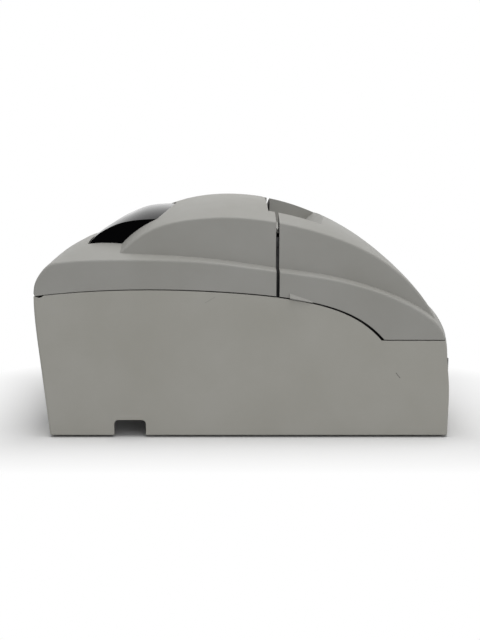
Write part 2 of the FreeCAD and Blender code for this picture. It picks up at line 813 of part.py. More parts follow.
# Platen, guide shaft, guide rail and deck
platen_x1 = paper_x - pressure_gap
platen_low = print_z - platen_half_height
platen_top = print_z + platen_half_height
save(box(platen_x1 - platen_depth, platen_x1, left_y, right_y, platen_low, platen_top), "platen")
outer_left = left_y - frame_thickness
outer_right = right_y + frame_thickness
save(cyl_y(shaft_x, shaft_z, shaft_radius, outer_left, outer_right), "guide_shaft")
rail_half = rail_width / 2.0
save(box(rail_x - rail_half, rail_x + rail_half, left_y, right_y, rail_low, rail_high), "guide_rail")
drive_y = right_y - pulley_inset
idle_y = left_y + pulley_inset
deck = box(deck_x0, deck_x1, outer_left, outer_right, deck_z, deck_top)
deck = deck.cut(cyl_z(belt_x, drive_y, spindle_hole, deck_z - over, deck_top + over))
deck = deck.fuse(cyl_z(belt_x, idle_y, pulley_stud, deck_top - 0.5, belt_top + stud_rise))
save(deck, "deck_plate")

# Carriage belt, its two pulleys and the carriage motor
belt_half = belt_thickness / 2.0
flange_reach = flange_gap + flange_thickness


def stadium(radius):
    ends = [cyl_z(belt_x, y, radius, belt_low, belt_top) for y in (drive_y, idle_y)]
    return fused([box(belt_x - radius, belt_x + radius, idle_y, drive_y, belt_low, belt_top)] + ends)


def pulley(y):
    low = belt_low - flange_reach
    top = belt_top + flange_reach
    flange = belt_radius + belt_half + flange_rim
    core = cyl_z(belt_x, y, belt_radius - belt_half - slide_clearance, low, top)
    lower = cyl_z(belt_x, y, flange, low, low + flange_thickness)
    upper = cyl_z(belt_x, y, flange, top - flange_thickness, top)
    return fused([core, lower, upper])


save(stadium(belt_radius + belt_half).cut(stadium(belt_radius - belt_half)), "carriage_belt")
drive_spindle = cyl_z(belt_x, drive_y, pulley_stud, deck_z - shaft_bite, belt_low)
save(fused([pulley(drive_y), drive_spindle]), "drive_pulley")
idler_bore = cyl_z(belt_x, idle_y, pulley_stud + bore_clearance, deck_top, belt_top + 2.0 * stud_rise)
save(pulley(idle_y).cut(idler_bore), "idler_pulley")
carriage_motor = cyl_z(belt_x, drive_y, carriage_motor_radius, deck_z - carriage_motor_height, deck_z)
motor_bore = cyl_z(belt_x, drive_y, pulley_stud + bore_clearance, deck_z - 2.0 * shaft_bite, deck_z)
save(carriage_motor.cut(motor_bore), "carriage_motor")

# Carriage that slides on the shaft and is steadied by the rail
head_z = print_z - head_drop
rail_gap = rail_half + slide_clearance
fork_x0 = rail_x + rail_gap
fork_x1 = fork_x0 + carriage_prong
carriage_y0 = paper_y - carriage_half
carriage_y1 = paper_y + carriage_half
bridge_z = rail_high + slide_clearance
belt_run_x = belt_x - belt_radius
slot_half = belt_half + slide_clearance
block = box(head_x0, rail_x - rail_gap, carriage_y0, carriage_y1, carriage_low, carriage_top)
bridge = box(rail_x - rail_gap - over, fork_x1, carriage_y0, carriage_y1, bridge_z, carriage_top)
fork = box(fork_x0, fork_x1, carriage_y0, carriage_y1, rail_low, carriage_top)
cradle = box(head_x0 + 4.0, head_x1 - 4.0, carriage_y0, carriage_y1, carriage_top - 0.5, head_z - 3.0)
clamp = box(fork_x1 - 0.5, belt_run_x + 2.0, paper_y - clamp_half, paper_y + clamp_half, rail_low + 0.5,
            carriage_top)
belt_slot = box(belt_run_x - slot_half, belt_run_x + slot_half, paper_y - belt_slot_half,
                paper_y + belt_slot_half, belt_low - slide_clearance, carriage_top + over)
carriage = fused([block, bridge, fork, cradle, clamp])
carriage = carriage.cut(cyl_y(shaft_x, shaft_z, shaft_radius + bore_clearance, -far, far))
carriage = carriage.cut(cyl_x(paper_y, head_z, head_half, head_x0, head_x1))
save(carriage.cut(belt_slot), "carriage")

# Print head: a finned drum with a nose that reaches the platen
fins = [cyl_x(paper_y, head_z, head_half - fin_depth, head_x0, head_x1)]
fin_step = (head_x1 - head_x0 - over - fin_thickness) / (head_fins - 1)
for i in range(head_fins):
    x0 = head_x0 + 0.5 * over + i * fin_step
    fins.append(cyl_x(paper_y, head_z, head_half, x0, x0 + fin_thickness))
nose_root = head_x0 + 4.0
nose_points = [(nose_x, print_z - nose_half), (nose_x, print_z + nose_half),
               (nose_x + 5.0, print_z + nose_half + 0.5), (nose_root, head_z + 8.0), (nose_root, head_z),
               (nose_x + 7.0, head_z + 2.0)]
nose = side_prism(nose_points, paper_y - nose_half, paper_y + nose_half)
save(fused(fins + [nose]), "print_head")


def tilt(shape):
    """Turn a piece drawn level with the cassette to the cassette's slope and place."""
    shape.rotate(Vector(0, 0, 0), Vector(0, 1, 0), cassette_tilt)
    shape.translate(Vector(cassette_x, 0, cassette_z))
    return shape


# Ribbon cassette, tilted down to the front, with two arms that hold the ribbon at the platen
tray = box(0, cassette_depth, paper_y - cassette_half, paper_y + cassette_half, -cassette_height, 0)
upright = [e for e in tray.Edges if abs(middle(e).z + cassette_height / 2.0) < 0.01]
tray = tray.makeFillet(cassette_round, upright)
tray = tray.cut(cyl_z(knob_x, knob_y, hub_radius + slide_clearance, -cassette_height - over, over))
ribbon_low = print_z - ribbon_half
ribbon_top = print_z + ribbon_half
arm_points = [(cassette_x + 6.0, cassette_z - 6.0), (cassette_x - 0.5, cassette_z - 6.0),
              (ribbon_x0, ribbon_top + 0.5), (ribbon_x0, ribbon_low - 0.5),
              (ribbon_x0 + 8.0, ribbon_low - 0.5), (cassette_x + 8.0, cassette_z - 17.0)]
peg_x = cassette_x + 8.0
peg_z = cassette_z - 10.0
arms = []
for side in (-1.0, 1.0):
    y0, y1 = sorted([paper_y + side * arm_inner, paper_y + side * cassette_half])
    arms.append(side_prism(arm_points, y0, y1))
    y0, y1 = sorted([paper_y + side * (cassette_half - over), paper_y + side * frame_half])
    arms.append(cyl_y(peg_x, peg_z, cassette_peg, y0, y1))
save(fused([tilt(tray)] + arms), "ribbon_cassette")
ribbon_band = box(ribbon_x0, ribbon_x0 + ribbon_thickness, paper_y - arm_inner, paper_y + arm_inner,
                  ribbon_low, ribbon_top)
save(ribbon_band, "ribbon_band")

# Ribbon knob with finger grips, and the spindle that drives it from the bridge below
socket_top = -cassette_height + socket_depth
knob = fused([cyl_z(knob_x, knob_y, hub_radius, -cassette_height + 0.5, over),
              cyl_z(knob_x, knob_y, knob_radius, 0.5, knob_height)])
grips = []
for i in range(knob_grips):
    angle = i * 2.0 * math.pi / knob_grips
    reach = knob_radius + 0.5 * grip_radius
    grip_x = knob_x + reach * math.cos(angle)
    grip_y = knob_y + reach * math.sin(angle)
    grips.append(cyl_z(grip_x, grip_y, grip_radius, 0.0, knob_height + over))
knob = knob.cut(group(grips))
knob = knob.cut(cyl_z(knob_x, knob_y, spindle_radius + slide_clearance, -cassette_height, socket_top))
save(tilt(knob), "ribbon_knob")
bridge_top = bridge_low + bridge_thickness
strip = box(knob_x - bridge_half, knob_x + bridge_half, left_y, right_y, bridge_low, bridge_top)
boss = cyl_z(knob_x, knob_y, boss_radius, bridge_low, -cassette_height - 2.0)
ribbon_bridge = fused([strip, boss])
spindle_hole_radius = spindle_radius + bore_clearance
ribbon_bridge = ribbon_bridge.cut(cyl_z(knob_x, knob_y, spindle_hole_radius, bridge_low - over, 0))
save(tilt(ribbon_bridge), "ribbon_bridge")
spindle_foot = bridge_low - 2.5
spindle = fused([cyl_z(knob_x, knob_y, spindle_radius, spindle_foot, socket_top - 0.5),
                 cyl_z(knob_x, knob_y, spindle_head, spindle_foot, bridge_low - 0.4)])
save(tilt(spindle), "ribbon_spindle")

# Roll bucket on its two ribs
bucket_y0 = paper_y - bucket_half - bucket_wall
bucket_y1 = paper_y + bucket_half + bucket_wall
roll_space = cyl_y(roll_x, roll_z, bucket_inner, paper_y - bucket_half, paper_y + bucket_half)
trough = cyl_y(roll_x, roll_z, bucket_outer, bucket_y0, bucket_y1)
for dx in rib_places:
    rib_x = roll_x + dx
    rib_top = roll_z - bucket_inner - 1.0
    trough = trough.fuse(box(rib_x, rib_x + rib_width, bucket_y0, bucket_y1, bay_roof + bay_wall, rib_top))
trough = trough.common(box(-2.0 * far, 2.0 * far, -far, far, 0, bucket_rim)).cut(roll_space)
finger_slot = box(finger_x - 4.5, finger_x + 3.5, bucket_y1 - bucket_wall - over, bucket_y1 + over,
                  lever_z - 7.0, lever_z + 3.5)
trough = trough.cut(finger_slot)
trough = trough.fuse(cyl_y(lever_x, lever_z, lever_pin, bucket_y1 - over, bucket_y1 + lever_width + over))
save(trough, "roll_bucket")

# Near end lever, whose finger feels the side of the roll through the bucket's slot
lever_y0 = bucket_y1 + slide_clearance
lever_y1 = bucket_y1 + lever_width
hub = cyl_y(lever_x, lever_z, lever_hub, lever_y0, lever_y1)
bar = box(lever_x, finger_x + lever_half, lever_y0, lever_y1, lever_z - lever_half, lever_z + lever_half)
finger = cyl_y(finger_x, lever_z, lever_half, bucket_y1 - bucket_wall - 3.0, bucket_y1 + over)
lever = fused([hub, bar, finger])
save(lever.cut(cyl_y(lever_x, lever_z, lever_pin + bore_clearance, -far, far)), "near_end_lever")

# Chute from the bucket's rim to the platen
chute_start = roll_x + bucket_outer + 0.5
chute_end = platen_x1 - platen_depth - slide_clearance
chute_top = platen_low - slide_clearance
chute_points = [(chute_start, bucket_rim + 1.0), (chute_start, bucket_rim + 3.0), (chute_end, chute_top),
                (chute_end, chute_top - chute_thickness)]
save(side_prism(chute_points, left_y, right_y), "paper_chute")


def port_block(y, half, tall):
    x1 = bay_front + bay_wall + port_back
    return box(bay_front - port_proud, x1, y - half, y + half, port_z - tall, port_z + tall)


# Cable bay under the roll with its connectors
roof = box(bay_rear, bay_front + bay_wall, -side_space, side_space, bay_roof, bay_roof + bay_wall)
panel = box(bay_front, bay_front + bay_wall, -side_space, side_space, plate_top, bay_roof)
data_port = port_block(data_y, data_half, data_tall)
drawer_port = port_block(drawer_y, drawer_half, drawer_tall)
power_inlet = port_block(power_y, power_half, power_half)
bay = fused([roof, panel]).cut(group([data_port, drawer_port, power_inlet]))
mouth_x = bay_front - port_proud - over
mouth_end = bay_front - port_floor
mouth_half = data_half - data_lip
mouth_tall = data_tall - data_lip
mouth = [(data_y - mouth_half, port_z + mouth_tall), (data_y + mouth_half, port_z + mouth_tall),
         (data_y + mouth_half - data_slant, port_z - mouth_tall),
         (data_y - mouth_half + data_slant, port_z - mouth_tall)]
save(data_port.cut(cross_prism(mouth, mouth_x, mouth_end)), "data_port")
jack = box(mouth_x, bay_front, drawer_y - 4.8, drawer_y + 4.8, port_z - 4.0, port_z + 3.0)
key = box(mouth_x, bay_front, drawer_y - 2.0, drawer_y + 2.0, port_z + 2.0, port_z + 5.0)
save(drawer_port.cut(jack.fuse(key)), "drawer_port")
save(power_inlet.cut(cyl_x(power_y, port_z, power_bore, mouth_x, mouth_end)), "power_inlet")
jacks = []
for side in (-1.0, 1.0):
    y = data_y + side * (data_half + jackscrew_gap)
    hexagon = []
    for k in range(6):
        angle = k * math.pi / 3.0
        hexagon.append((y + jackscrew_radius * math.cos(angle), port_z + jackscrew_radius * math.sin(angle)))
    jacks.append(cross_prism(hexagon, bay_front - jackscrew_length, bay_front))
save(group(jacks), "port_jackscrews")
earth_screw = fused([cyl_x(earth_y, port_z, earth_head, bay_front - earth_head_height, bay_front),
                     cyl_x(earth_y, port_z, earth_shank, bay_front, bay_front + earth_length)])
save(earth_screw, "earth_screw")
save(bay.cut(cyl_x(earth_y, port_z, earth_shank, bay_front - over, bay_front + bay_wall + over)), "cable_bay")

# Bottom plate with its screws, in posts of the lower case
bottom = box(bay_front, plate_x1, -plate_half, plate_half, plate_bottom, plate_top)
screws = []
for x in (bay_front + 9.0, plate_x1 - 8.0):
    for y in (-side_space + boss_inset, side_space - boss_inset):
        case = case.fuse(cyl_z(x, y, boss_post, plate_top, deck_z - 6.0).common(body))
        case = case.cut(cyl_z(x, y, screw_radius, plate_top - over, plate_top + screw_length + over))
        bottom = bottom.cut(cyl_z(x, y, screw_radius, plate_bottom - over, plate_top + over))
        head = cyl_z(x, y, screw_head, plate_bottom - screw_head_height, plate_bottom)
        screws.append(fused([head, cyl_z(x, y, screw_radius, plate_bottom, plate_top + screw_length)]))
save(bottom, "bottom_plate")
save(group(screws), "bottom_screws")

# Main board on its standoffs, with chips and capacitors at shares of the board's sides
save(box(board_x0, board_x1, board_y0, board_y1, board_z, board_top), "main_board")
corners = []
for x in (board_x0 + board_corner, board_x1 - board_corner):
    for y in (board_y0 + board_corner, board_y1 - board_corner):
        corners.append((x, y))
save(group([cyl_z(x, y, standoff_radius, plate_top, board_z) for x, y in corners]), "board_standoffs")
screw_top = board_top + board_screw_height
save(group([cyl_z(x, y, board_screw_radius, board_top, screw_top) for x, y in corners]), "board_screws")
chip_places = [(0.21, 0.5, 20.0, 20.0, 2.4), (0.57, 0.27, 14.0, 10.0, 2.0), (0.57, 0.65, 18.0, 12.0, 2.4),
               (0.86, 0.38, 10.0, 26.0, 3.0)]
can_places = [(0.13, 0.17, 5.0, 12.0), (0.27, 0.17, 5.0, 12.0), (0.4, 0.82, 4.0, 9.0)]


def on_board(share_x, share_y):
    return board_x0 + share_x * (board_x1 - board_x0), board_y0 + share_y * (board_y1 - board_y0)


chips = []
for share_x, share_y, width, depth, height in chip_places:
    x, y = on_board(share_x, share_y)
    x0, y0 = x - width / 2.0, y - depth / 2.0
    chips.append(box(x0, x0 + width, y0, y0 + depth, board_top, board_top + height))
save(group(chips), "board_chips")
cans = []
for share_x, share_y, radius, height in can_places:
    x, y = on_board(share_x, share_y)
    cans.append(cyl_z(x, y, radius, board_top, board_top + height))
save(group(cans), "board_capacitors")
post_rear = deck_x0 + 5.0
post_places = [(post_rear, post_left), (deck_x1 - 7.0, post_left), (post_rear, post_right)]
post_places.append((head_x1, post_right))
save(group([cyl_z(x, y, post_radius, plate_top, deck_z) for x, y in post_places]), "deck_posts")

# Feet: two on the plate and two on pads in the rear corners of the case
for side in (-1.0, 1.0):
    y0, y1 = sorted([side * pad_y, side * (side_space + over)])
    case = case.fuse(box(pad_x0, pad_x0 + pad_length, y0, y1, plate_bottom, plate_bottom + pad_thickness))
feet = []
for x, y in ((pad_x0 + pad_length / 2.0, side_space - 10.0), (plate_x1 - 22.0, side_space - 12.0)):
    for side in (-1.0, 1.0):
        feet.append(cyl_z(x, side * y, foot_radius, 0.0, plate_bottom))
save(group(feet), "rubber_feet")

# Rear opening of the bay and the cable notches in both side walls
bay_half = 0.66 * body_half_width
case = case.cut(box(-body_length, bay_rear + 6.0, -bay_half, bay_half, 0, bay_roof))
notch = box(notch_x0, notch_x1, -far, far, -notch_top, notch_top)
notch_edges = [e for e in notch.Edges if abs(middle(e).z - notch_top) < 0.01 and abs(middle(e).y) < 1.0]
case = case.cut(notch.makeFillet(notch_round, notch_edges))

# Control panel film with the feed button and the lamps
button_x = front_wall_x(button_y, button_z)
board_face_x = button_x - panel_board_depth
holes = [cyl_x(button_y, button_z, button_radius + slide_clearance, button_x - 5.0, button_x + 5.0)]
lamps = []
for i in range(3):
    y = button_y + lamp_start + i * lamp_step
    x = front_wall_x(y, lamp_z) + lamp_proud
    lamps.append(cyl_x(y, lamp_z, lamp_radius, board_face_x, x))
    holes.append(cyl_x(y, lamp_z, lamp_radius, board_face_x, x + 2.0))
film = body_blank(-panel_film, case_bottom).cut(body_blank(-glue_line, case_bottom))
film = film.common(box(0.3 * body_length, body_length, panel_y0, panel_y1, panel_z0, panel_z1))
case = case.cut(group(holes))
save(film.cut(group(holes)), "control_panel")
save(group(lamps), "status_lamps")
button_back = button_x - button_depth
stem = cyl_x(button_y, button_z, button_radius, button_back, button_x + button_proud)
collar_end = button_back + button_collar_depth
collar = cyl_x(button_y, button_z, button_radius + button_collar, button_back, collar_end)
save(fused([stem, collar]), "feed_button")
panel_board = box(board_face_x - board_thickness, board_face_x, panel_y0, panel_y1, panel_z0, panel_z1)
save(panel_board, "panel_board")
key_end = button_back - button_travel - 0.2
key_switch = box(board_face_x, key_end, button_y - key_half, button_y + key_half, button_z - key_half,
                 button_z + key_half)
save(key_switch, "key_switch")
for y in (panel_y0 + panel_boss_inset, panel_y1 - panel_boss_inset):
    z = panel_z0 + panel_boss_inset
    case = case.fuse(cyl_x(y, z, panel_boss, board_face_x, front_wall_x(y, z) - 1.0))

# Power switch beside the middle of the front wall, sunk so that the bowed wall stays the longest piece
switch_x = front_wall_x(switch_y, switch_z) - switch_sunk


def switch_box(x0, x1, half_y, half_z):
    return box(x0, x1, switch_y - half_y, switch_y + half_y, switch_z - half_z, switch_z + half_z)


cup = switch_box(switch_x - cup_depth, switch_x, cup_half_y, cup_half_z)
rim = switch_box(switch_x - rim_depth, switch_x + rim_proud, rim_half_y, rim_half_z)
well = switch_box(switch_x - cup_depth + cup_floor, switch_x + 5.0, well_half_y, well_half_z)
mouth = switch_box(switch_x, switch_x + 5.0, rim_half_y, rim_half_z)
case = case.cut(group([cup, rim, mouth]))
rocker_x = switch_x - rocker_depth
pin_room = rocker_pin_half + rocker_pin_room
pin_bore = cyl_y(rocker_x, switch_z, rocker_pin + bore_clearance, switch_y - pin_room, switch_y + pin_room)
save(fused([cup, rim]).cut(well).cut(pin_bore), "switch_bezel")
rocker_half = well_half_y - slide_clearance
outline = [(rocker_x + x, switch_z + z) for x, z in rocker_points]
rocker = side_prism(outline, switch_y - rocker_half, switch_y + rocker_half)
rocker.rotate(Vector(rocker_x, 0, switch_z), Vector(0, 1, 0), rocker_tilt)
pin = cyl_y(rocker_x, switch_z, rocker_pin, switch_y - rocker_pin_half, switch_y + rocker_pin_half)
save(fused([rocker, pin]), "power_rocker")
save(case, "lower_case")
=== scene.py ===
# %% [markdown]
# # A desk receipt printer
# The real printer is a grey moulded case on four rubber feet, with a roll cover at the rear, a smoked
# window over the paper roll and a front cover over the print works. Its pieces arrive from the construction
# model in metres, already in place. They could be modelled again by eye, but sizes that fit and move are
# best kept in one place, so the lesson begins by loading them.

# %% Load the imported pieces
import json
import math
import bmesh
import bpy
from mathutils import Matrix, Vector


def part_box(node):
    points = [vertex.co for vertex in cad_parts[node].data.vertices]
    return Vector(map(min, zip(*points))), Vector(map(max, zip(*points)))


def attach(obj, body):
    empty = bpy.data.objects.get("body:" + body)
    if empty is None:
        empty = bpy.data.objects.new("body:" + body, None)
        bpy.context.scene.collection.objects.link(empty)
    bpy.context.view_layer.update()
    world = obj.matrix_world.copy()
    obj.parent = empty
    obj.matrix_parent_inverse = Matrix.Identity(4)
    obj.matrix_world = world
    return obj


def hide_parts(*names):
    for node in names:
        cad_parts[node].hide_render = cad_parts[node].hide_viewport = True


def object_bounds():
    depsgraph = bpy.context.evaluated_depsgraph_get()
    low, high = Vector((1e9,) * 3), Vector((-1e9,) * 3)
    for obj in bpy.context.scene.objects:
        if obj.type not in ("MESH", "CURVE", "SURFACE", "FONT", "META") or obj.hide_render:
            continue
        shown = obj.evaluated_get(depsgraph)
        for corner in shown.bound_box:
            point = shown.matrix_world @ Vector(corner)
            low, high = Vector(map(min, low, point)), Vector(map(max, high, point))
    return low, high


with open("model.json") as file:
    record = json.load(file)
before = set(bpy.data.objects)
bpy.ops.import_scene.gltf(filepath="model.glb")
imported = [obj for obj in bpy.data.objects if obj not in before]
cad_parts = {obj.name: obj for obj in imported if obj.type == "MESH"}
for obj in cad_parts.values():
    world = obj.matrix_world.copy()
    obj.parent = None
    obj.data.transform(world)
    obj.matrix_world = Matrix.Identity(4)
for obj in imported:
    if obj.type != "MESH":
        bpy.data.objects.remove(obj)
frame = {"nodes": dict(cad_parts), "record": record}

cad_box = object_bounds()
nodes = frame["nodes"]
record = frame["record"]
slot_of = {part["node"]: part["material_slot"] for part in record["subparts"]}
body_of = {node: body for body, members in record["behaviour"]["bodies"].items() for node in members}
scene = bpy.context.scene
scene.view_settings.view_transform = "Standard"
mm = 0.001

# %% [markdown]
# ## Helpers for shader nodes
# A finish is a small tree of nodes. Placing and wiring each node takes several lines, so short helpers keep
# the later cells readable. One makes any node. The others wrap what appears most: arithmetic, a change of
# range, a mix of two colours, a tint by a share of a mask, and a bump that feeds a shader's normal.

# %% Node helpers
def make(tree, kind, inputs=None, **settings):
    node = tree.nodes.new("ShaderNode" + kind)
    for name, value in settings.items():
        setattr(node, name, value)
    for key, value in (inputs or {}).items():
        if isinstance(value, bpy.types.NodeSocket):
            tree.links.new(value, node.inputs[key])
        else:
            node.inputs[key].default_value = value
    return node


def maths(tree, operation, *values):
    return make(tree, "Math", dict(enumerate(values)), operation=operation).outputs[0]


def ranged(tree, value, start, end, low=0.0, high=1.0):
    spans = {"Value": value, "From Min": start, "From Max": end, "To Min": low, "To Max": high}
    return make(tree, "MapRange", spans).outputs[0]


def rgba(colour):
    if isinstance(colour, bpy.types.NodeSocket):
        return colour
    return (*colour, 1.0)


def mixed(tree, factor, first, second):
    inputs = {0: factor, 6: rgba(first), 7: rgba(second)}
    return make(tree, "Mix", inputs, data_type="RGBA").outputs[2]


def tinted(tree, mask, share, first, second):
    return mixed(tree, maths(tree, "MULTIPLY", mask, share), first, second)


def embossed(tree, shader, height, strength, depth, normal=None):
    relief = {"Height": height, "Strength": strength, "Distance": depth * mm}
    if normal is not None:
        relief["Normal"] = normal
    tree.links.new(make(tree, "Bump", relief).outputs[0], shader["Normal"])


print("node helpers ready")

# %% [markdown]
# ## Floor and surroundings
# A studio shot stands the object on a white sweep. A white floor under enough lamps to burn it out would
# flood the object too, so the whiteness is given only to rays that show the background: camera, mirror and
# see-through rays. Close to the case the floor stays a plain matt white that takes the shadow, and it turns
# to pure white a hand's width away. All other rays meet a calmer floor and a dim sky, which keep the light
# on the printer plain.

# %% World
sky_light = 0.30


def shown_rays(tree):
    path = make(tree, "LightPath")
    seen = maths(tree, "MAXIMUM", path.outputs["Is Camera Ray"], path.outputs["Is Glossy Ray"])
    return maths(tree, "MAXIMUM", seen, path.outputs["Is Transmission Ray"])


world = bpy.data.worlds.new("studio_sky")
scene.world = world
world.use_nodes = True
sky = world.node_tree.nodes["Background"]
sky.inputs["Color"].default_value = (1.0, 1.0, 1.0, 1.0)
sky_strength = maths(world.node_tree, "MULTIPLY_ADD", shown_rays(world.node_tree), 1.0 - sky_light, sky_light)
world.node_tree.links.new(sky_strength, sky.inputs["Strength"])
print("sky light", sky_light)

# %% Floor
floor_bounce = 0.62
floor_matt = 0.90
floor_half = 4.0
floor_drop = 0.05 * mm
white_reach = 0.07
low, high = cad_box
footprint = (high.x, high.y, 1.0)
floor_finish = bpy.data.materials.new("white_sweep")
floor_finish.use_nodes = True
tree = floor_finish.node_tree
tree.nodes.remove(tree.nodes["Principled BSDF"])
bounce = make(tree, "BsdfDiffuse", {"Color": (floor_bounce, floor_bounce, floor_bounce, 1.0)})
matt = make(tree, "BsdfDiffuse", {"Color": (floor_matt, floor_matt, floor_matt, 1.0)})
glow = make(tree, "Emission", {"Strength": 1.0})
here = make(tree, "TexCoord").outputs["Object"]
spread = make(tree, "VectorMath", {0: here}, operation="ABSOLUTE").outputs[0]
past = make(tree, "VectorMath", {0: spread, 1: footprint}, operation="SUBTRACT").outputs[0]
past = make(tree, "VectorMath", {0: past, 1: (0.0, 0.0, 0.0)}, operation="MAXIMUM").outputs[0]
away = make(tree, "VectorMath", {0: past}, operation="LENGTH").outputs["Value"]
whiter = ranged(tree, away, 0.0, white_reach)
pure = make(tree, "MixShader", {0: whiter, 1: matt.outputs[0], 2: glow.outputs[0]})
surface = make(tree, "MixShader", {0: shown_rays(tree), 1: bounce.outputs[0], 2: pure.outputs[0]})
tree.links.new(surface.outputs[0], tree.nodes["Material Output"].inputs["Surface"])

work = bmesh.new()
bmesh.ops.create_grid(work, x_segments=1, y_segments=1, size=floor_half)
bmesh.ops.translate(work, verts=work.verts, vec=(0.0, 0.0, -floor_drop))
floor_mesh = bpy.data.meshes.new("studio_floor")
work.to_mesh(floor_mesh)
work.free()
floor_mesh.materials.append(floor_finish)
studio_floor = bpy.data.objects.new("studio_floor", floor_mesh)
scene.collection.objects.link(studio_floor)
print("floor", 2.0 * floor_half, "m across")

# %% [markdown]
# ## Lamps
# The photograph shows a bright top and calmer sides, with no hard shadow. One large soft box overhead gives
# that. A weak second one on the viewer's side lifts the wall that faces the camera. Small lamps would draw
# sharp shadow edges that the photograph does not have.

# %% Soft boxes
lamp_target = Vector((0.0, 0.0, 0.06))


def soft_box(name, place, side, watts):
    data = bpy.data.lights.new(name, "AREA")
    data.shape = "SQUARE"
    data.size = side
    data.energy = watts
    lamp = bpy.data.objects.new(name, data)
    lamp.location = place
    lamp.rotation_euler = (lamp_target - Vector(place)).to_track_quat("-Z", "Y").to_euler()
    scene.collection.objects.link(lamp)


soft_box("top_soft_box", place=(0.08, -0.15, 1.35), side=1.3, watts=11.5)
soft_box("viewer_soft_box", place=(0.45, -1.9, 0.8), side=1.4, watts=6.5)
print("lamps", [lamp.name for lamp in bpy.data.lights])

# %% [markdown]
# ## Camera
# The photograph looks at the printer's long side from a little above. Its focal length and place were found
# by matching the outline of the case, and are written here as the lens needs them: a focal length in
# pixels, a pitch, and a small sideways shift because the printer's picture was cropped off centre.

# %% Camera at the photograph's angle
photo_wide, photo_tall = 480, 640
focal_pixels = 1011.4
centre_column = 208.0
pitch = math.radians(8.32)
camera_place = (-24.7 * mm, -648.0 * mm, 152.1 * mm)
camera_data = bpy.data.cameras.new("side_camera")
camera_data.sensor_width = 36.0
camera_data.lens = focal_pixels * camera_data.sensor_width / photo_tall
camera_data.shift_x = (photo_wide / 2.0 - centre_column) / photo_tall
camera_data.clip_start = 0.01
camera = bpy.data.objects.new("side_camera", camera_data)
camera.location = camera_place
camera.rotation_euler = (math.pi / 2.0 - pitch, 0.0, 0.0)
scene.collection.objects.link(camera)
scene.camera = camera
print("lens", round(camera_data.lens, 2), "mm")

# %% [markdown]
# ## Shared effects
# Several finishes show the same things: the fine spark-eroded grain of a mould, edges that hands have
# polished, dust on what faces up, drawn lines in metal, and a single scratch. Each could be rebuilt in
# every material. A node group builds it once, with named inputs, so that each material only states its own
# scale.

# %% A new group
def new_group(name, inputs, outputs):
    group = bpy.data.node_groups.new(name, "ShaderNodeTree")
    for label, value in inputs.items():
        kind = "NodeSocketFloat" if isinstance(value, float) else "NodeSocketVector"
        socket = group.interface.new_socket(label, in_out="INPUT", socket_type=kind)
        socket.default_value = value
    for label in outputs:
        kind = "NodeSocketVector" if label == "Normal" else "NodeSocketFloat"
        group.interface.new_socket(label, in_out="OUTPUT", socket_type=kind)
    given = group.nodes.new("NodeGroupInput").outputs
    result = group.nodes.new("NodeGroupOutput").inputs
    return group, given, result


def placed(tree, group, **values):
    node = tree.nodes.new("ShaderNodeGroup")
    node.node_tree = group
    for label, value in values.items():
        node.inputs[label.replace("_", " ").title()].default_value = value
    return node.outputs


def noise(tree, vector, scale, detail, roughness=0.5):
    inputs = {"Vector": vector, "Scale": scale, "Detail": detail, "Roughness": roughness}
    return make(tree, "TexNoise", inputs).outputs[0]


print("group helpers ready")

# %% Moulded grain
scales = {"Grain": 2600.0, "Mottle": 26.0}
moulded_grain, given, result = new_group("moulded_grain", scales, ["Height", "Patches"])
tree = moulded_grain
here = make(tree, "TexCoord").outputs["Object"]
fine = noise(tree, here, given["Grain"], 3.0)
pits = make(tree, "TexVoronoi", {"Vector": here, "Scale": given["Grain"]}).outputs["Distance"]
broad = noise(tree, here, given["Mottle"], 6.0, 0.6)
tree.links.new(maths(tree, "MULTIPLY_ADD", pits, 0.4, fine), result["Height"])
tree.links.new(ranged(tree, broad, 0.34, 0.68), result["Patches"])
print("group", moulded_grain.name)

# %% Worn edges
worn_edge, given, result = new_group("worn_edge", {"Radius": 0.5 * mm, "Breaks": 700.0}, ["Edge", "Normal"])
tree = worn_edge
rounded = make(tree, "Bevel", {"Radius": given["Radius"]}, samples=6).outputs["Normal"]
flat = make(tree, "NewGeometry").outputs["Normal"]
turn = make(tree, "VectorMath", {0: rounded, 1: flat}, operation="DOT_PRODUCT").outputs["Value"]
here = make(tree, "TexCoord").outputs["Object"]
breaks = noise(tree, here, given["Breaks"], 4.0)
edge = maths(tree, "MULTIPLY", ranged(tree, turn, 0.99, 0.80), ranged(tree, breaks, 0.32, 0.6))
tree.links.new(edge, result["Edge"])
tree.links.new(rounded, result["Normal"])
print("group", worn_edge.name)

# %% Settled dust
settled_dust, given, result = new_group("settled_dust", {"Patch": 55.0}, ["Dust", "Top"])
tree = settled_dust
own = make(tree, "TexCoord").outputs
facing = make(tree, "SeparateXYZ", {0: own["Normal"]}).outputs["Z"]
here = own["Object"]
cloud = noise(tree, here, given["Patch"], 7.0, 0.65)
dust = maths(tree, "MULTIPLY", ranged(tree, facing, 0.55, 0.98), ranged(tree, cloud, 0.3, 0.75))
tree.links.new(dust, result["Dust"])
tree.links.new(ranged(tree, facing, 0.35, 0.60), result["Top"])
print("group", settled_dust.name)

# %% Drawn lines in metal
scales = {"Stretch": (1.0, 0.04, 1.0), "Fineness": 900.0}
drawn_lines, given, result = new_group("drawn_lines", scales, ["Height"])
tree = drawn_lines
here = make(tree, "TexCoord").outputs["Object"]
long = make(tree, "VectorMath", {0: here, 1: given["Stretch"]}, operation="MULTIPLY").outputs[0]
lines = noise(tree, long, given["Fineness"], 4.0)
tree.links.new(ranged(tree, lines, 0.3, 0.7), result["Height"])
print("group", drawn_lines.name)

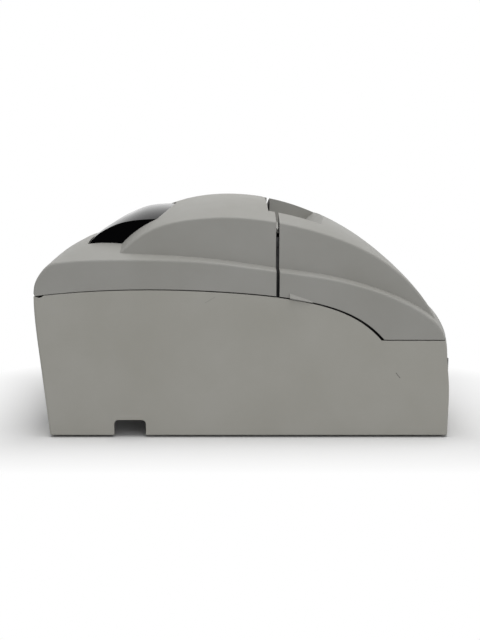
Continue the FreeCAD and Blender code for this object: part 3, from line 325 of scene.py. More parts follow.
# %% A single scratch
places = {"Start": (0.0, 0.0, 0.0), "End": (0.0, 0.0, 1.0), "Width": mm}
scratch, given, result = new_group("scratch", places, ["Mark"])
tree = scratch
here = make(tree, "TexCoord").outputs["Object"]
reach = make(tree, "VectorMath", {0: here, 1: given["Start"]}, operation="SUBTRACT").outputs[0]
whole = make(tree, "VectorMath", {0: given["End"], 1: given["Start"]}, operation="SUBTRACT").outputs[0]
along = make(tree, "VectorMath", {0: reach, 1: whole}, operation="DOT_PRODUCT").outputs["Value"]
square = make(tree, "VectorMath", {0: whole, 1: whole}, operation="DOT_PRODUCT").outputs["Value"]
share = make(tree, "Clamp", {0: maths(tree, "DIVIDE", along, square)}).outputs[0]
foot = make(tree, "VectorMath", {0: whole, "Scale": share}, operation="SCALE").outputs[0]
gap = make(tree, "VectorMath", {0: reach, 1: foot}, operation="DISTANCE").outputs["Value"]
rough = noise(tree, here, 1500.0, 3.0)
ragged = maths(tree, "MULTIPLY", gap, ranged(tree, rough, 0.2, 0.8, 0.6, 2.2))
tree.links.new(ranged(tree, ragged, given["Width"], 0.0), result["Mark"])
print("group", scratch.name)

# %% [markdown]
# ## The grey case
# The case and covers are moulded in warm grey plastic with a fine matt grain. One flat colour would look like
# paint, so the grey drifts a little in broad patches, edges that are handled go paler and smoother, dust
# greys what faces up, and two scuffs sit where the photograph has them. The covers are the same plastic
# painted a shade darker than the lower case. That is painted shade, for the floor's bounce light that
# brightens the lower walls.

# %% Case finish
case_dust = (0.50, 0.48, 0.44)
scuff_black = (0.05, 0.05, 0.05)
soil_tint = (0.80, 0.79, 0.74)
soil_share, dust_share, wear_share = 0.30, 0.10, 0.16


def blank_finish(name):
    material = bpy.data.materials.new(name)
    material.use_nodes = True
    tree = material.node_tree
    return material, tree, tree.nodes["Principled BSDF"].inputs


def faded(colour, share):
    return [share + (1.0 - share) * part for part in colour]


def case_finish(name, colour, scuffs=()):
    material, tree, shader = blank_finish(name)
    grain = placed(tree, moulded_grain, grain=2600.0, mottle=24.0)
    edge = placed(tree, worn_edge, radius=0.45 * mm)
    dust = placed(tree, settled_dust, patch=50.0)
    soiled = [share * part for share, part in zip(soil_tint, colour)]
    tone = tinted(tree, grain["Patches"], soil_share, colour, soiled)
    tone = tinted(tree, dust["Dust"], dust_share, tone, case_dust)
    tone = tinted(tree, edge["Edge"], wear_share, tone, faded(colour, 0.35))
    for start, end, width, strength in scuffs:
        mark = placed(tree, scratch, start=Vector(start) * mm, end=Vector(end) * mm, width=width * mm)
        tone = tinted(tree, mark["Mark"], strength, tone, scuff_black)
    tree.links.new(tone, shader["Base Color"])
    matt = ranged(tree, grain["Patches"], 0.0, 1.0, 0.50, 0.62)
    tree.links.new(maths(tree, "MULTIPLY_ADD", edge["Edge"], -0.12, matt), shader["Roughness"])
    embossed(tree, shader, grain["Height"], 0.22, 0.06, edge["Normal"])
    shader["Specular IOR Level"].default_value = 0.35
    return material


case_grey = (0.445, 0.437, 0.400)
# Painted shade: the covers' grey is the lower case's plastic made darker.
cover_shaded_grey = (0.375, 0.371, 0.350)
wall_scuffs = [((83.2, -78.0, 38.0), (85.6, -78.0, 35.1), 0.5, 0.8),
               ((-26.4, -78.0, 78.5), (-20.6, -78.0, 81.9), 0.45, 0.28)]
case_looks = {"lower_case": case_finish("case_plastic", case_grey, wall_scuffs),
              "roll_cover": case_finish("roll_cover_shaded_plastic", cover_shaded_grey),
              "front_cover": case_finish("front_cover_shaded_plastic", cover_shaded_grey)}
print("case finishes", [look.name for look in case_looks.values()])

# %% [markdown]
# ## Other moulded plastics
# The bucket, cassette, carriage and sockets are black or dark nylon-like plastic, the gears are pale, and the
# feed button is mid grey. They share one recipe: a grain, edges that shine a little, and dust. Only the
# colour, the gloss and the size of the grain change, so a function writes the tree once. The black coat on
# the two frame plates is a baked powder with the same kind of skin, so it borrows the recipe. Its black is
# painted shade that keeps the gap between the covers dark.

# %% Moulded plastics
plastic_dust = (0.42, 0.40, 0.37)


def moulded_finish(name, colour, gloss, grain_scale=3000.0, depth=0.05, dusty=0.06, pale_edge=0.10):
    material, tree, shader = blank_finish(name)
    grain = placed(tree, moulded_grain, grain=grain_scale, mottle=60.0)
    edge = placed(tree, worn_edge, radius=0.3 * mm)
    dust = placed(tree, settled_dust, patch=90.0)
    darker = [0.72 * part for part in colour]
    tone = tinted(tree, grain["Patches"], 0.45, colour, darker)
    tone = tinted(tree, edge["Edge"], pale_edge, tone, faded(colour, 0.25))
    tone = tinted(tree, dust["Dust"], dusty, tone, plastic_dust)
    tree.links.new(tone, shader["Base Color"])
    matt = ranged(tree, grain["Patches"], 0.0, 1.0, gloss, gloss + 0.14)
    tree.links.new(maths(tree, "MULTIPLY_ADD", edge["Edge"], -0.1, matt), shader["Roughness"])
    embossed(tree, shader, grain["Height"], 0.3, depth, edge["Normal"])
    return material


finish = {"black_plastic": moulded_finish("black_plastic", (0.018, 0.018, 0.019), 0.34),
          "dark_plastic": moulded_finish("dark_plastic", (0.060, 0.060, 0.063), 0.42),
          "gear_plastic": moulded_finish("gear_plastic", (0.74, 0.72, 0.66), 0.36, 1800.0, 0.03, 0.04, 0.0),
          "button_plastic": moulded_finish("button_plastic", (0.15, 0.15, 0.148), 0.38)}
# Painted shade: this black coat on the frame plates and feed shaft keeps the gap between the covers dark.
finish["black_steel"] = moulded_finish("black_steel", (0.022, 0.022, 0.023), 0.40, 3600.0, 0.02, 0.08, 0.14)
finish["rubber"] = moulded_finish("rubber", (0.020, 0.020, 0.020), 0.72, 4200.0, 0.10, 0.10, 0.06)
finish["case_plastic"] = case_looks["lower_case"]
print("moulded finishes", sorted(finish))

# %% [markdown]
# ## Smoked window
# The roll window is a clear plastic dyed so dark that it looks black until it catches the sky. Real
# absorption would need the light to cross two walls for little gain, so the body is nearly black. Its top
# is polished, which a clear coat gives: seen along the surface it mirrors the bright room, and its end
# stays dead black. Faint wiping smears make the gloss duller in places, and a little dust settles on it.

# %% Window finish
smoke_black = (0.0015, 0.0015, 0.0018)
window_dust = (0.40, 0.39, 0.37)
polish = 0.56
material, tree, shader = blank_finish("smoke_plastic")
smears = placed(tree, moulded_grain, grain=900.0, mottle=45.0)
edge = placed(tree, worn_edge, radius=0.4 * mm)
dust = placed(tree, settled_dust, patch=70.0)
tree.links.new(tinted(tree, dust["Dust"], 0.02, smoke_black, window_dust), shader["Base Color"])
tree.links.new(ranged(tree, smears["Patches"], 0.0, 1.0, 0.10, 0.26), shader["Roughness"])
embossed(tree, shader, smears["Patches"], 0.05, 0.05, edge["Normal"])
tree.links.new(maths(tree, "MULTIPLY", dust["Top"], polish), shader["Coat Weight"])
shader["Coat Roughness"].default_value = 0.14
shader["Specular IOR Level"].default_value = 0.01
finish["smoke_plastic"] = material
print("window finish", material.name)

# %% [markdown]
# ## Metals
# Three metals show when the covers are open: zinc-plated sheet for the plates, ground bright steel for
# shafts and screws, and cast alloy for the print head. Sheet and bar carry fine lines from rolling or
# grinding, so a stretched noise drives their gloss and a shallow bump. Castings have a grain instead.

# %% Metal finishes
bare_edge = (0.85, 0.85, 0.85)


def metal_finish(name, colour, gloss, stretch, fineness, depth=0.012, blotch=0.25):
    material, tree, shader = blank_finish(name)
    lines = placed(tree, drawn_lines, stretch=stretch, fineness=fineness)
    stain = placed(tree, moulded_grain, grain=1500.0, mottle=75.0)
    edge = placed(tree, worn_edge, radius=0.2 * mm)
    dull = [0.62 * part for part in colour]
    tone = tinted(tree, stain["Patches"], blotch, colour, dull)
    tone = tinted(tree, edge["Edge"], 0.3, tone, bare_edge)
    tree.links.new(tone, shader["Base Color"])
    grainy = maths(tree, "MULTIPLY_ADD", stain["Patches"], 0.12, gloss)
    tree.links.new(maths(tree, "MULTIPLY_ADD", lines["Height"], 0.10, grainy), shader["Roughness"])
    embossed(tree, shader, lines["Height"], 0.4, depth, edge["Normal"])
    shader["Metallic"].default_value = 1.0
    return material


finish["sheet_steel"] = metal_finish("sheet_steel", (0.60, 0.60, 0.58), 0.34, (1.0, 1.0, 0.05), 700.0)
finish["bright_steel"] = metal_finish("bright_steel", (0.68, 0.68, 0.67), 0.16, (1.0, 0.05, 1.0), 1400.0)
finish["cast_alloy"] = metal_finish("cast_alloy", (0.50, 0.50, 0.51), 0.42, (1.0, 1.0, 1.0), 2200.0, 0.05)
print("metal finishes", [finish[name].name for name in ("sheet_steel", "bright_steel", "cast_alloy")])

# %% [markdown]
# ## Circuit boards
# A board is glass fibre under green varnish, with copper tracks that show as slightly paler lines. Drawing
# a real layout would say nothing more at this size, so two brick patterns, laid flat on the board, stand
# for the tracks.

# %% Board finish
varnish_green, varnish_deep = (0.012, 0.085, 0.038), (0.008, 0.060, 0.030)
track_green = (0.030, 0.150, 0.060)
material, tree, shader = blank_finish("board")
here = make(tree, "TexCoord").outputs["Object"]
weave = placed(tree, moulded_grain, grain=5200.0, mottle=40.0)
tracks = []
for lay_turn, wide in ((0.0, 4.0 * mm), (math.pi / 2.0, 7.0 * mm)):
    lay = make(tree, "Mapping", {"Vector": here, "Rotation": (0.0, 0.0, lay_turn)}).outputs[0]
    sizes = {"Vector": lay, "Scale": 1.0, "Mortar Size": 0.22 * mm, "Brick Width": wide,
             "Row Height": 1.6 * mm}
    tracks.append(make(tree, "TexBrick", sizes, offset=0.37).outputs["Fac"])
copper = maths(tree, "MAXIMUM", tracks[0], tracks[1])
varnish = tinted(tree, weave["Patches"], 0.4, varnish_green, varnish_deep)
tracked = tinted(tree, copper, 0.6, varnish, track_green)
tree.links.new(tracked, shader["Base Color"])
tree.links.new(ranged(tree, weave["Height"], 0.2, 1.0, 0.24, 0.40), shader["Roughness"])
embossed(tree, shader, copper, 0.3, 0.03)
finish["board"] = material
print("board finish", material.name)

# %% [markdown]
# ## Control panel film, lamps and ribbon
# The panel beside the feed button is a printed film with a thin pale border inside its edge. The border is
# found from the distance to the film's edge, which is known from its box. The lamps are tinted lenses, dark
# while unlit. The ribbon is woven nylon soaked in ink, with a close weave made from two crossed waves.

# %% Film finish
film_black, film_deep = (0.040, 0.041, 0.044), (0.030, 0.031, 0.033)
border_pale = (0.46, 0.46, 0.45)
material, tree, shader = blank_finish("panel_film")
low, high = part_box("control_panel")
centre = (low + high) / 2.0
half = (high - low) / 2.0
here = make(tree, "TexCoord").outputs["Object"]
offset = make(tree, "VectorMath", {0: here, 1: centre}, operation="SUBTRACT").outputs[0]
spot = make(tree, "SeparateXYZ", {0: offset})
border = 1.6 * mm
line = 0.35 * mm
across = maths(tree, "SUBTRACT", half.y - border, maths(tree, "ABSOLUTE", spot.outputs["Y"]))
upward = maths(tree, "SUBTRACT", half.z - border, maths(tree, "ABSOLUTE", spot.outputs["Z"]))
inset = maths(tree, "MINIMUM", across, upward)
on_line = maths(tree, "COMPARE", inset, 0.0, line / 2.0)
grain = placed(tree, moulded_grain, grain=3800.0, mottle=50.0)
print_tone = tinted(tree, grain["Patches"], 0.3, film_black, film_deep)
lined = tinted(tree, on_line, 0.8, print_tone, border_pale)
tree.links.new(lined, shader["Base Color"])
tree.links.new(ranged(tree, grain["Patches"], 0.0, 1.0, 0.38, 0.5), shader["Roughness"])
embossed(tree, shader, grain["Height"], 0.2, 0.03)
finish["panel_film"] = material
print("film", [round(1000.0 * size, 1) for size in 2.0 * half], "mm")

# %% Lamp and ribbon finishes
def lens_finish(name, colour):
    material, tree, shader = blank_finish(name)
    haze = placed(tree, moulded_grain, grain=2600.0, mottle=500.0)
    cloudy = [0.55 * part + 0.05 for part in colour]
    tree.links.new(mixed(tree, haze["Patches"], colour, cloudy), shader["Base Color"])
    tree.links.new(ranged(tree, haze["Patches"], 0.0, 1.0, 0.10, 0.22), shader["Roughness"])
    return material


lens_looks = [lens_finish("green_lens", (0.05, 0.24, 0.06)), lens_finish("amber_lens", (0.30, 0.13, 0.02)),
              lens_finish("red_lens", (0.26, 0.025, 0.02))]
finish["lamp"] = lens_looks[0]
ink_dark, ink_lit = (0.010, 0.009, 0.016), (0.032, 0.028, 0.050)
material, tree, shader = blank_finish("ribbon")
threads = {"Vector": make(tree, "TexCoord").outputs["Object"], "Scale": 520.0}
warp = make(tree, "TexWave", threads, bands_direction="Y").outputs["Fac"]
weft = make(tree, "TexWave", threads, bands_direction="Z").outputs["Fac"]
cloth = maths(tree, "MULTIPLY", warp, weft)
tree.links.new(mixed(tree, cloth, ink_dark, ink_lit), shader["Base Color"])
tree.links.new(ranged(tree, cloth, 0.0, 1.0, 0.55, 0.8), shader["Roughness"])
embossed(tree, shader, cloth, 0.4, 0.05)
finish["ribbon"] = material
print("finishes", len(finish))

# %% [markdown]
# ## Dress the loaded pieces
# Every loaded piece already knows its material slot, so one loop gives each its finish. The three grey
# mouldings take their own versions of the case finish, the covers with a painted shade. The feed shaft is
# blackened as painted shade, because nothing glints in the photograph's gap between the covers.

# %% Finishes on the loaded pieces
# Painted shade: the black feed shaft darkens the gap between the covers.
own_looks = {**case_looks, "feed_shaft": finish["black_steel"]}
for name, node in nodes.items():
    look = own_looks.get(name, finish[slot_of[name]])
    node.data.materials.clear()
    node.data.materials.append(look)
print("dressed", len(nodes))

# %% [markdown]
# ## Helpers for new pieces
# The construction model leaves edges sharp. A real moulding, pressing or turned part has small rounds that
# catch the light, so the plainer pieces are replaced. A finished piece joins the scene, rides on its body
# and takes over from the node that it stands for. Its place stays in its mesh, as the loaded pieces do it.

# %% Finish a new piece
def finished(work, name, body, slot, *replaced, look=None, crease=38.0):
    mesh = bpy.data.meshes.new(name)
    work.to_mesh(mesh)
    work.free()
    mesh.shade_smooth()
    mesh.set_sharp_from_angle(angle=math.radians(crease))
    mesh.materials.append(look or finish[slot])
    piece = bpy.data.objects.new(name, mesh)
    scene.collection.objects.link(piece)
    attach(piece, body)
    if replaced:
        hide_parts(*replaced)
    return piece


def joined(shapes):
    whole = bmesh.new()
    for shape in shapes:
        carrier = bpy.data.meshes.new("carrier")
        shape.to_mesh(carrier)
        shape.free()
        whole.from_mesh(carrier)
        bpy.data.meshes.remove(carrier)
    return whole


def aimed(work, place, axis, twist=0.0):
    turn = Vector((0.0, 0.0, 1.0)).rotation_difference(Vector(axis)).to_matrix().to_4x4()
    spin = Matrix.Rotation(twist, 4, "Z")
    bmesh.ops.transform(work, matrix=Matrix.Translation(place) @ turn @ spin, verts=work.verts)
    return work


print("piece helpers ready")

# %% [markdown]
# ## Rounded pieces
# Pressed plates, sockets, the cassette, the carriage and the bucket keep their shape and only need rounded
# edges. A Bevel modifier on the loaded piece would work on its loose triangles, so a copy is merged first,
# its flat faces are made whole again, and only then are the sharp edges bevelled.

# %% Rounded copies
weld = 0.002 * mm
flat_turn, sharp_turn = math.radians(0.4), math.radians(30.0)


def merged_copy(node):
    work = bmesh.new()
    work.from_mesh(nodes[node].data)
    bmesh.ops.remove_doubles(work, verts=work.verts, dist=weld)
    bmesh.ops.dissolve_limit(work, angle_limit=flat_turn, verts=work.verts, edges=work.edges,
                             use_dissolve_boundaries=False)
    return work


def bevelled(work, edges, width, clamp=False):
    bmesh.ops.bevel(work, geom=edges, offset=width * mm, offset_type="OFFSET", affect="EDGES", segments=2,
                    profile=0.5, material=-1, clamp_overlap=clamp)
    return work


def softened(node, width, *added):
    work = merged_copy(node)
    sharp = [edge for edge in work.edges if edge.calc_face_angle(0.0) > sharp_turn]
    bevelled(work, sharp, width, clamp=True)
    return finished(joined([work, *added]), node + "_rounded", body_of[node], slot_of[node], node)


edge_widths = {"power_rocker": 0.5, "switch_bezel": 0.5, "ribbon_knob": 0.3, "carriage": 0.4,
               "pressure_bracket": 0.4, "roll_bucket": 0.5, "near_end_lever": 0.4, "paper_chute": 0.3,
               "drawer_port": 0.35, "power_inlet": 0.4, "data_port": 0.25, "deck_plate": 0.2,
               "left_frame": 0.15, "right_frame": 0.15, "motor_plate": 0.15, "platen": 0.25,
               "guide_rail": 0.15, "bottom_plate": 0.25, "print_head": 0.2, "board_chips": 0.12,
               "board_capacitors": 0.4, "key_switch": 0.3, "ribbon_bridge": 0.15}
for node, width in edge_widths.items():
    piece = softened(node, width)
    print(piece.name, len(piece.data.polygons), "faces")

# %% [markdown]
# ## Cassette lid
# The ribbon cassette is a box with a lid welded on. The lid shows as a low panel with three ribs across it,
# short of the knob. The panel is a bevelled block, its ribs are three more, and all are joined to the
# rounded cassette, so that it stays one piece. The cassette slopes down to the front. Its largest face that
# looks up gives the slope, and the rear edge of that face the place that the blocks are measured from.

# %% Cassette with its lid
work = merged_copy("ribbon_cassette")
lid_seat = max((face for face in work.faces if face.normal.z > 0.8), key=lambda face: face.calc_area())
cassette_slope = Matrix.Rotation(math.atan2(lid_seat.normal.x, lid_seat.normal.z), 4, "Y")
rear = min((point.co for point in lid_seat.verts), key=lambda spot: spot.x)
sides = [point.co.y for point in lid_seat.verts]
cassette_place = Matrix.Translation((rear.x, (min(sides) + max(sides)) / 2.0, rear.z))
work.free()
rib_wide, rib_starts = 1.2, (12.0, 22.0, 32.0)


def lid_block(x0, x1, half_y, top):
    work = bmesh.new()
    bmesh.ops.create_cube(work, size=1.0)
    bmesh.ops.translate(work, verts=work.verts, vec=(0.5, 0.0, 0.0))
    bmesh.ops.scale(work, vec=((x1 - x0) * mm, 2.0 * half_y * mm, 2.0 * top * mm), verts=work.verts)
    bmesh.ops.translate(work, verts=work.verts, vec=(x0 * mm, 0.0, 0.0))
    bevelled(work, list(work.edges), 0.3)
    bmesh.ops.transform(work, matrix=cassette_place @ cassette_slope, verts=work.verts)
    return work


lid_panel = lid_block(3.0, 42.0, half_y=43.0, top=0.7)
lid_ribs = [lid_block(x, x + rib_wide, half_y=36.0, top=1.2) for x in rib_starts]
cassette = softened("ribbon_cassette", 0.7, lid_panel, *lid_ribs)
print(cassette.name, len(cassette.data.polygons), "faces")

# %% [markdown]
# ## Turned pieces
# Feet, the button, lenses and motors are all turned shapes: one half outline swung about an axis. Modelling
# them from a cylinder would take many loop cuts, so a helper spins an outline of radius and height pairs.
# Where the outline touches the axis the spin leaves many points in one place, so doubles are merged before
# the normals are set. Some loaded nodes hold several solids, such as four feet. A second helper finds the
# box of each, by walking along its edges from point to point.

# %% Turning and finding solids
def turned(outline, steps=40):
    work = bmesh.new()
    points = [work.verts.new((radius * mm, 0.0, height * mm)) for radius, height in outline]
    lines = [work.edges.new(pair) for pair in zip(points, points[1:])]
    bmesh.ops.spin(work, geom=points + lines, cent=(0.0, 0.0, 0.0), axis=(0.0, 0.0, 1.0), angle=2.0 * math.pi,
                   steps=steps, use_merge=True)
    bmesh.ops.remove_doubles(work, verts=work.verts, dist=weld)
    bmesh.ops.recalc_face_normals(work, faces=work.faces)
    return work


def islands(node):
    work = merged_copy(node)
    waiting = set(work.verts)
    boxes = []
    while waiting:
        edge_of_group = [waiting.pop()]
        group = []
        while edge_of_group:
            point = edge_of_group.pop()
            group.append(point.co.copy())
            beside = {line.other_vert(point) for line in point.link_edges} & waiting
            waiting -= beside
            edge_of_group += beside
        low = Vector([min(spot[i] for spot in group) for i in range(3)])
        high = Vector([max(spot[i] for spot in group) for i in range(3)])
        boxes.append((low, high))
    work.free()
    return sorted(boxes, key=lambda pair: tuple(pair[0]))


print("feet found", len(islands("rubber_feet")))

# %% [markdown]
# ## Rubber feet
# Each foot is a moulded rubber disc with a cupped underside, so that only a ring touches the desk and grips
# it. The outline below has that ring, a rounded rim and the shallow cup, and one turned shape is set at
# each foot's place.

# %% Feet
foot_outline = [(0.0, 0.6), (3.6, 0.6), (4.2, 0.15), (4.6, 0.0), (6.1, 0.0), (6.6, 0.2), (7.0, 0.8),
                (7.0, 2.5), (0.0, 2.5)]
shapes = []
for low, high in islands("rubber_feet"):
    middle = (low + high) / 2.0
    shapes.append(aimed(turned(foot_outline), (middle.x, middle.y, low.z), (0.0, 0.0, 1.0)))
foot_discs = finished(joined(shapes), "foot_discs", "base", "rubber", "rubber_feet")
print(foot_discs.name, len(foot_discs.data.polygons), "faces")

# %% [markdown]
# ## Feed button
# The feed button is a round cap with a softened rim and a slightly dished face for a fingertip. A collar
# behind the panel keeps it from falling out. All of it is one turned outline, laid along the front to rear
# axis.

# %% Button
low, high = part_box("feed_button")
deep = (high.x - low.x) / mm
button_outline = [(0.0, 0.0), (7.5, 0.0), (7.7, 0.2), (7.7, 1.3), (7.5, 1.5), (5.7, 1.5), (5.7, deep - 1.0),
                  (5.55, deep - 0.5), (5.2, deep - 0.15), (4.7, deep), (4.2, deep - 0.02),
                  (2.4, deep - 0.3), (0.0, deep - 0.4)]
place = (low.x, (low.y + high.y) / 2.0, (low.z + high.z) / 2.0)
work = aimed(turned(button_outline, 56), place, (1.0, 0.0, 0.0))
button_cap = finished(work, "button_cap", "feed_button", "button_plastic", "feed_button", crease=50.0)
print(button_cap.name, round(deep, 1), "mm deep")

# %% [markdown]
# ## Lamp lenses
# Three small lenses stand beside the button: power, paper and fault. Each is a clear rod with a domed end,
# tinted in its own colour and dark while the printer is off. They are three pieces, so that each has its
# own finish.

# %% Lenses
lens_names = ["power_lens", "paper_lens", "fault_lens"]
spots = sorted(islands("status_lamps"), key=lambda pair: pair[0].y)
for name, look, (low, high) in zip(lens_names, lens_looks, spots):
    deep = (high.x - low.x) / mm
    lens_outline = [(0.0, 0.0), (1.6, 0.0), (1.6, deep - 0.75), (1.5, deep - 0.42), (1.2, deep - 0.18),
                    (0.7, deep - 0.05), (0.0, deep)]
    place = (low.x, (low.y + high.y) / 2.0, (low.z + high.z) / 2.0)
    work = aimed(turned(lens_outline, 28), place, (1.0, 0.0, 0.0))
    lens = finished(work, name, "base", "lamp", "status_lamps", look=look, crease=60.0)
    print(lens.name, round(deep, 1), "mm long")

# %% [markdown]
# ## Motors
# Both motors are small stepping motors in a pressed can: two end bells meet a narrower band in the middle,
# and the rear has a raised bearing boss. The loaded solids are plain discs, so each is turned again inside
# the same outline, with the bore for its spindle left open.

# %% Motor cans
def motor_can(node, place, axis, radius, deep):
    outline = [(1.55, 4.0), (1.55, 0.0), (radius - 0.7, 0.0), (radius - 0.2, 0.2), (radius, 0.7),
               (radius, 0.38 * deep), (radius - 0.3, 0.38 * deep + 0.2), (radius - 0.3, 0.62 * deep - 0.2),
               (radius, 0.62 * deep), (radius, deep - 2.2), (radius - 0.5, deep - 1.3),
               (radius - 1.6, deep - 0.9), (6.2, deep - 0.9), (5.8, deep - 0.2), (5.4, deep), (2.4, deep),
               (2.0, deep - 0.5), (0.0, deep - 0.5)]
    work = aimed(turned(outline, 64), place, axis)
    return finished(work, node + "_can", body_of[node], slot_of[node], node)


low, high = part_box("feed_motor")
place = ((low.x + high.x) / 2.0, low.y, (low.z + high.z) / 2.0)
radius, deep = (high.x - low.x) / 2.0 / mm, (high.y - low.y) / mm
feed_can = motor_can("feed_motor", place, (0.0, 1.0, 0.0), radius, deep)
low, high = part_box("carriage_motor")
place = ((low.x + high.x) / 2.0, (low.y + high.y) / 2.0, high.z)
radius, deep = (high.x - low.x) / 2.0 / mm, (high.z - low.z) / mm
carriage_can = motor_can("carriage_motor", place, (0.0, 0.0, -1.0), radius, deep)
print("motor cans", feed_can.name, carriage_can.name)

# %% [markdown]
# ## Screws
# The screws have pan heads with a cross recess. A boolean cut would work, but it leaves untidy faces on so
# small a thing. Here a grid of five by five faces is drawn into a disc, the cross of inner faces is pushed
# down, and the rim is pulled down to make the head's wall. The shank is a turned rod under it.

# %% Cross-headed screws
dome_drop, recess_share, turn_step = 0.25, 0.62, 0.7


def cross_screw(place, axis, radius, tall, shank=0.0, length=0.0, twist=0.0):
    head = bmesh.new()
    bmesh.ops.create_grid(head, x_segments=5, y_segments=5, size=1.0)
    cross = [face for face in head.faces if min(abs(face.calc_center_median()[i]) for i in (0, 1)) < 0.1
             and max(abs(face.calc_center_median()[i]) for i in (0, 1)) < 0.6]
    rim = [line for line in head.edges if line.is_boundary]
    for point in head.verts:
        x, y = point.co.x, point.co.y
        across = Vector((x * math.sqrt(1.0 - y * y / 2.0), y * math.sqrt(1.0 - x * x / 2.0), 0.0))
        dome = tall * (1.0 - dome_drop * across.length_squared)
        point.co = Vector((across.x * radius, across.y * radius, dome)) * mm
    sunk = bmesh.ops.extrude_face_region(head, geom=cross)["geom"]
    floor_points = [part for part in sunk if isinstance(part, bmesh.types.BMVert)]
    bmesh.ops.translate(head, verts=floor_points, vec=(0.0, 0.0, -recess_share * tall * mm))
    bmesh.ops.delete(head, geom=[face for face in cross if face.is_valid], context="FACES_ONLY")
    skirt = bmesh.ops.extrude_edge_only(head, edges=rim)["geom"]
    for part in skirt:
        if isinstance(part, bmesh.types.BMVert):
            part.co.z = 0.0
    base = [line for line in head.edges if line.is_boundary]
    bmesh.ops.holes_fill(head, edges=base, sides=0)
    bmesh.ops.recalc_face_normals(head, faces=head.faces)
    shapes = [head]
    if length:
        rod = [(0.0, 0.3), (shank, 0.3), (shank, 0.6 - length), (0.4 * shank, -length), (0.0, -length)]
        shapes.append(turned(rod, 20))
    return aimed(joined(shapes), place, axis, twist)


def screw_row(node, axis, radius, tall, shank=0.0, length=0.0):
    shapes = []
    for number, (low, high) in enumerate(islands(node)):
        middle = (low + high) / 2.0
        reach = max(abs(part) for part in (high - low) * 0.5 * Vector(axis))
        seat = middle + Vector(axis) * (reach - tall * mm)
        shapes.append(cross_screw(seat, axis, radius, tall, shank, length, turn_step * number))
    return finished(joined(shapes), node + "_crossed", body_of[node], slot_of[node], node)


rows = [screw_row("bottom_screws", (0.0, 0.0, -1.0), 2.8, 0.9, 1.3, 9.5),
        screw_row("board_screws", (0.0, 0.0, 1.0), 2.6, 1.6),
        screw_row("earth_screw", (-1.0, 0.0, 0.0), 3.2, 2.2, 1.5, 6.0)]
print("screw rows", [row.name for row in rows])

# %% [markdown]
# ## Contacts in the sockets
# The sockets in the cable bay look like blank holes without their contacts. The data socket has 25 pins in
# two rows over a black insulator, the drawer socket has six sprung wires, and the power inlet has three
# round pins. One pin is turned and repeated. The wires are thin bars, tilted so that they rise towards the
# back of the hole.

# %% Data and power pins
def pin(place, radius, long):
    outline = [(0.0, 0.0), (radius, 0.0), (radius, long - radius), (0.6 * radius, long - 0.2 * radius),
               (0.0, long)]
    return aimed(turned(outline, 10), place, (-1.0, 0.0, 0.0))


low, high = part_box("data_port")
pin_pitch, row_gap = 2.77 * mm, 2.84 * mm
socket_depth = 5.5 * mm
middle_y, middle_z = (low.y + high.y) / 2.0, (low.z + high.z) / 2.0
floor_x = low.x + socket_depth
shapes = []
for count, z in ((13, middle_z + row_gap / 2.0), (12, middle_z - row_gap / 2.0)):
    for number in range(count):
        y = middle_y + (number - (count - 1) / 2.0) * pin_pitch
        shapes.append(pin((floor_x, y, z), radius=0.5, long=4.6))
data_pins = finished(joined(shapes), "data_pins", "base", "bright_steel")
work = bmesh.new()
bmesh.ops.create_cube(work, size=1.0)
wide_side, narrow_side, insulator_tall, insulator_thick = 34.8, 31.8, 7.8, 1.2
bmesh.ops.scale(work, vec=(insulator_thick * mm, wide_side * mm, insulator_tall * mm), verts=work.verts)
for point in work.verts:
    if point.co.z < 0.0:
        point.co.y *= narrow_side / wide_side
bevelled(work, list(work.edges), 0.2)
bmesh.ops.translate(work, verts=work.verts, vec=(floor_x - 0.5 * mm, middle_y, middle_z))
data_insulator = finished(work, "data_insulator", "base", "black_plastic")
low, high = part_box("power_inlet")
middle = (low + high) / 2.0
pin_circle = 2.6 * mm
shapes = []
for turn in (90.0, 210.0, 330.0):
    y = middle.y + pin_circle * math.cos(math.radians(turn))
    z = middle.z + pin_circle * math.sin(math.radians(turn))
    shapes.append(pin((floor_x, y, z), radius=0.75, long=4.2))
power_pins = finished(joined(shapes), "power_pins", "base", "bright_steel")
print(data_pins.name, data_insulator.name, power_pins.name)

# %% Drawer contacts
low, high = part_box("drawer_port")
middle = (low + high) / 2.0
wire_slope = Matrix.Rotation(math.radians(-24.0), 3, "Y")
wire_count, wire_pitch = 6, 1.02 * mm
wire_long, wire_wide, wire_thick = 4.6 * mm, 0.42 * mm, 0.3 * mm
wire_depth, wire_drop = 3.4 * mm, 2.7 * mm
shapes = []
for number in range(wire_count):
    wire = bmesh.new()
    bmesh.ops.create_cube(wire, size=1.0)
    bmesh.ops.scale(wire, vec=(wire_long, wire_wide, wire_thick), verts=wire.verts)
    bmesh.ops.rotate(wire, cent=(0.0, 0.0, 0.0), matrix=wire_slope, verts=wire.verts)
    y = middle.y + (number - (wire_count - 1) / 2.0) * wire_pitch
    bmesh.ops.translate(wire, verts=wire.verts, vec=(low.x + wire_depth, y, middle.z - wire_drop))
    shapes.append(wire)
drawer_contacts = finished(joined(shapes), "drawer_contacts", "base", "bright_steel")
print(drawer_contacts.name, len(drawer_contacts.data.polygons), "faces")

# %% [markdown]
# ## Marks on the power switch
# A rocker switch carries a line for on and a ring for off. They are printed or moulded in a pale tone. Thin
# raised shapes are set on the rocker's two faces, found as its two largest faces that look forwards, so
# that they ride along when the rocker tilts.

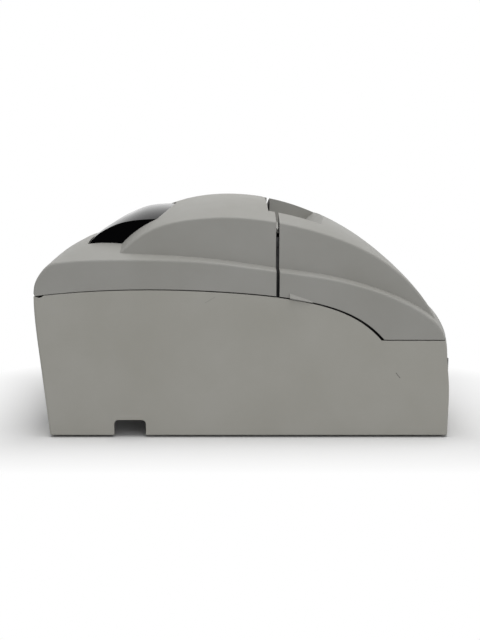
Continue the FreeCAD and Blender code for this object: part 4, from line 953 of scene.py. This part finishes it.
# %% Switch marks
work = merged_copy("power_rocker")
faces = sorted((face for face in work.faces if face.normal.x > 0.8), key=lambda face: face.calc_area())[-2:]
seats = [(face.calc_center_median(), face.normal.copy()) for face in faces]
upper, lower = sorted(seats, key=lambda pair: -pair[0].z)
work.free()
line = bmesh.new()
bmesh.ops.create_cube(line, size=1.0)
bmesh.ops.scale(line, vec=(2.6 * mm, 0.5 * mm, 0.2 * mm), verts=line.verts)
bevelled(line, list(line.edges), 0.08)
ring_outline = [(0.9, -0.1), (1.35, -0.1), (1.35, 0.06), (1.3, 0.1), (0.95, 0.1), (0.9, 0.06), (0.9, -0.1)]
ring = turned(ring_outline, 32)
shapes = [aimed(line, upper[0], upper[1]), aimed(ring, lower[0], lower[1])]
switch_marks = finished(joined(shapes), "switch_marks", "power_rocker", "gear_plastic")
print(switch_marks.name, "on faces at", [round(1000.0 * spot[0].z, 1) for spot in (upper, lower)])

# %% [markdown]
# ## Ribbon
# The ribbon is a strip of woven nylon, 12 mm wide, pulled straight between the two arms of the cassette.
# The loaded solid is a plain bar that stands for it in the motion model. Here it is a fine grid with a
# slight wave along its length, because cloth under a light pull is never quite flat, and Solidify gives it
# the thickness of cloth.

# %% Ribbon strip
low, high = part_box("ribbon_band")
long, tall = high.y - low.y, high.z - low.z
middle_x = (low.x + high.x) / 2.0
wave_high, curl_high, cloth_thick = 0.06 * mm, 0.05 * mm, 0.12 * mm
work = bmesh.new()
bmesh.ops.create_grid(work, x_segments=84, y_segments=12, size=0.5)
for point in work.verts:
    share, rise = point.co.x, point.co.y
    wave = wave_high * math.sin(19.0 * share + 2.0 * rise) * math.cos(math.pi * share)
    curl = curl_high * (2.0 * rise) ** 2
    point.co = Vector((middle_x + wave + curl, low.y + (share + 0.5) * long, low.z + (rise + 0.5) * tall))
bmesh.ops.recalc_face_normals(work, faces=work.faces)
ribbon_strip = finished(work, "ribbon_strip", "base", "ribbon", "ribbon_band")
thick = ribbon_strip.modifiers.new("cloth thickness", "SOLIDIFY")
thick.thickness = cloth_thick
thick.offset = 0.0
print(ribbon_strip.name, round(long / mm, 1), "mm long")
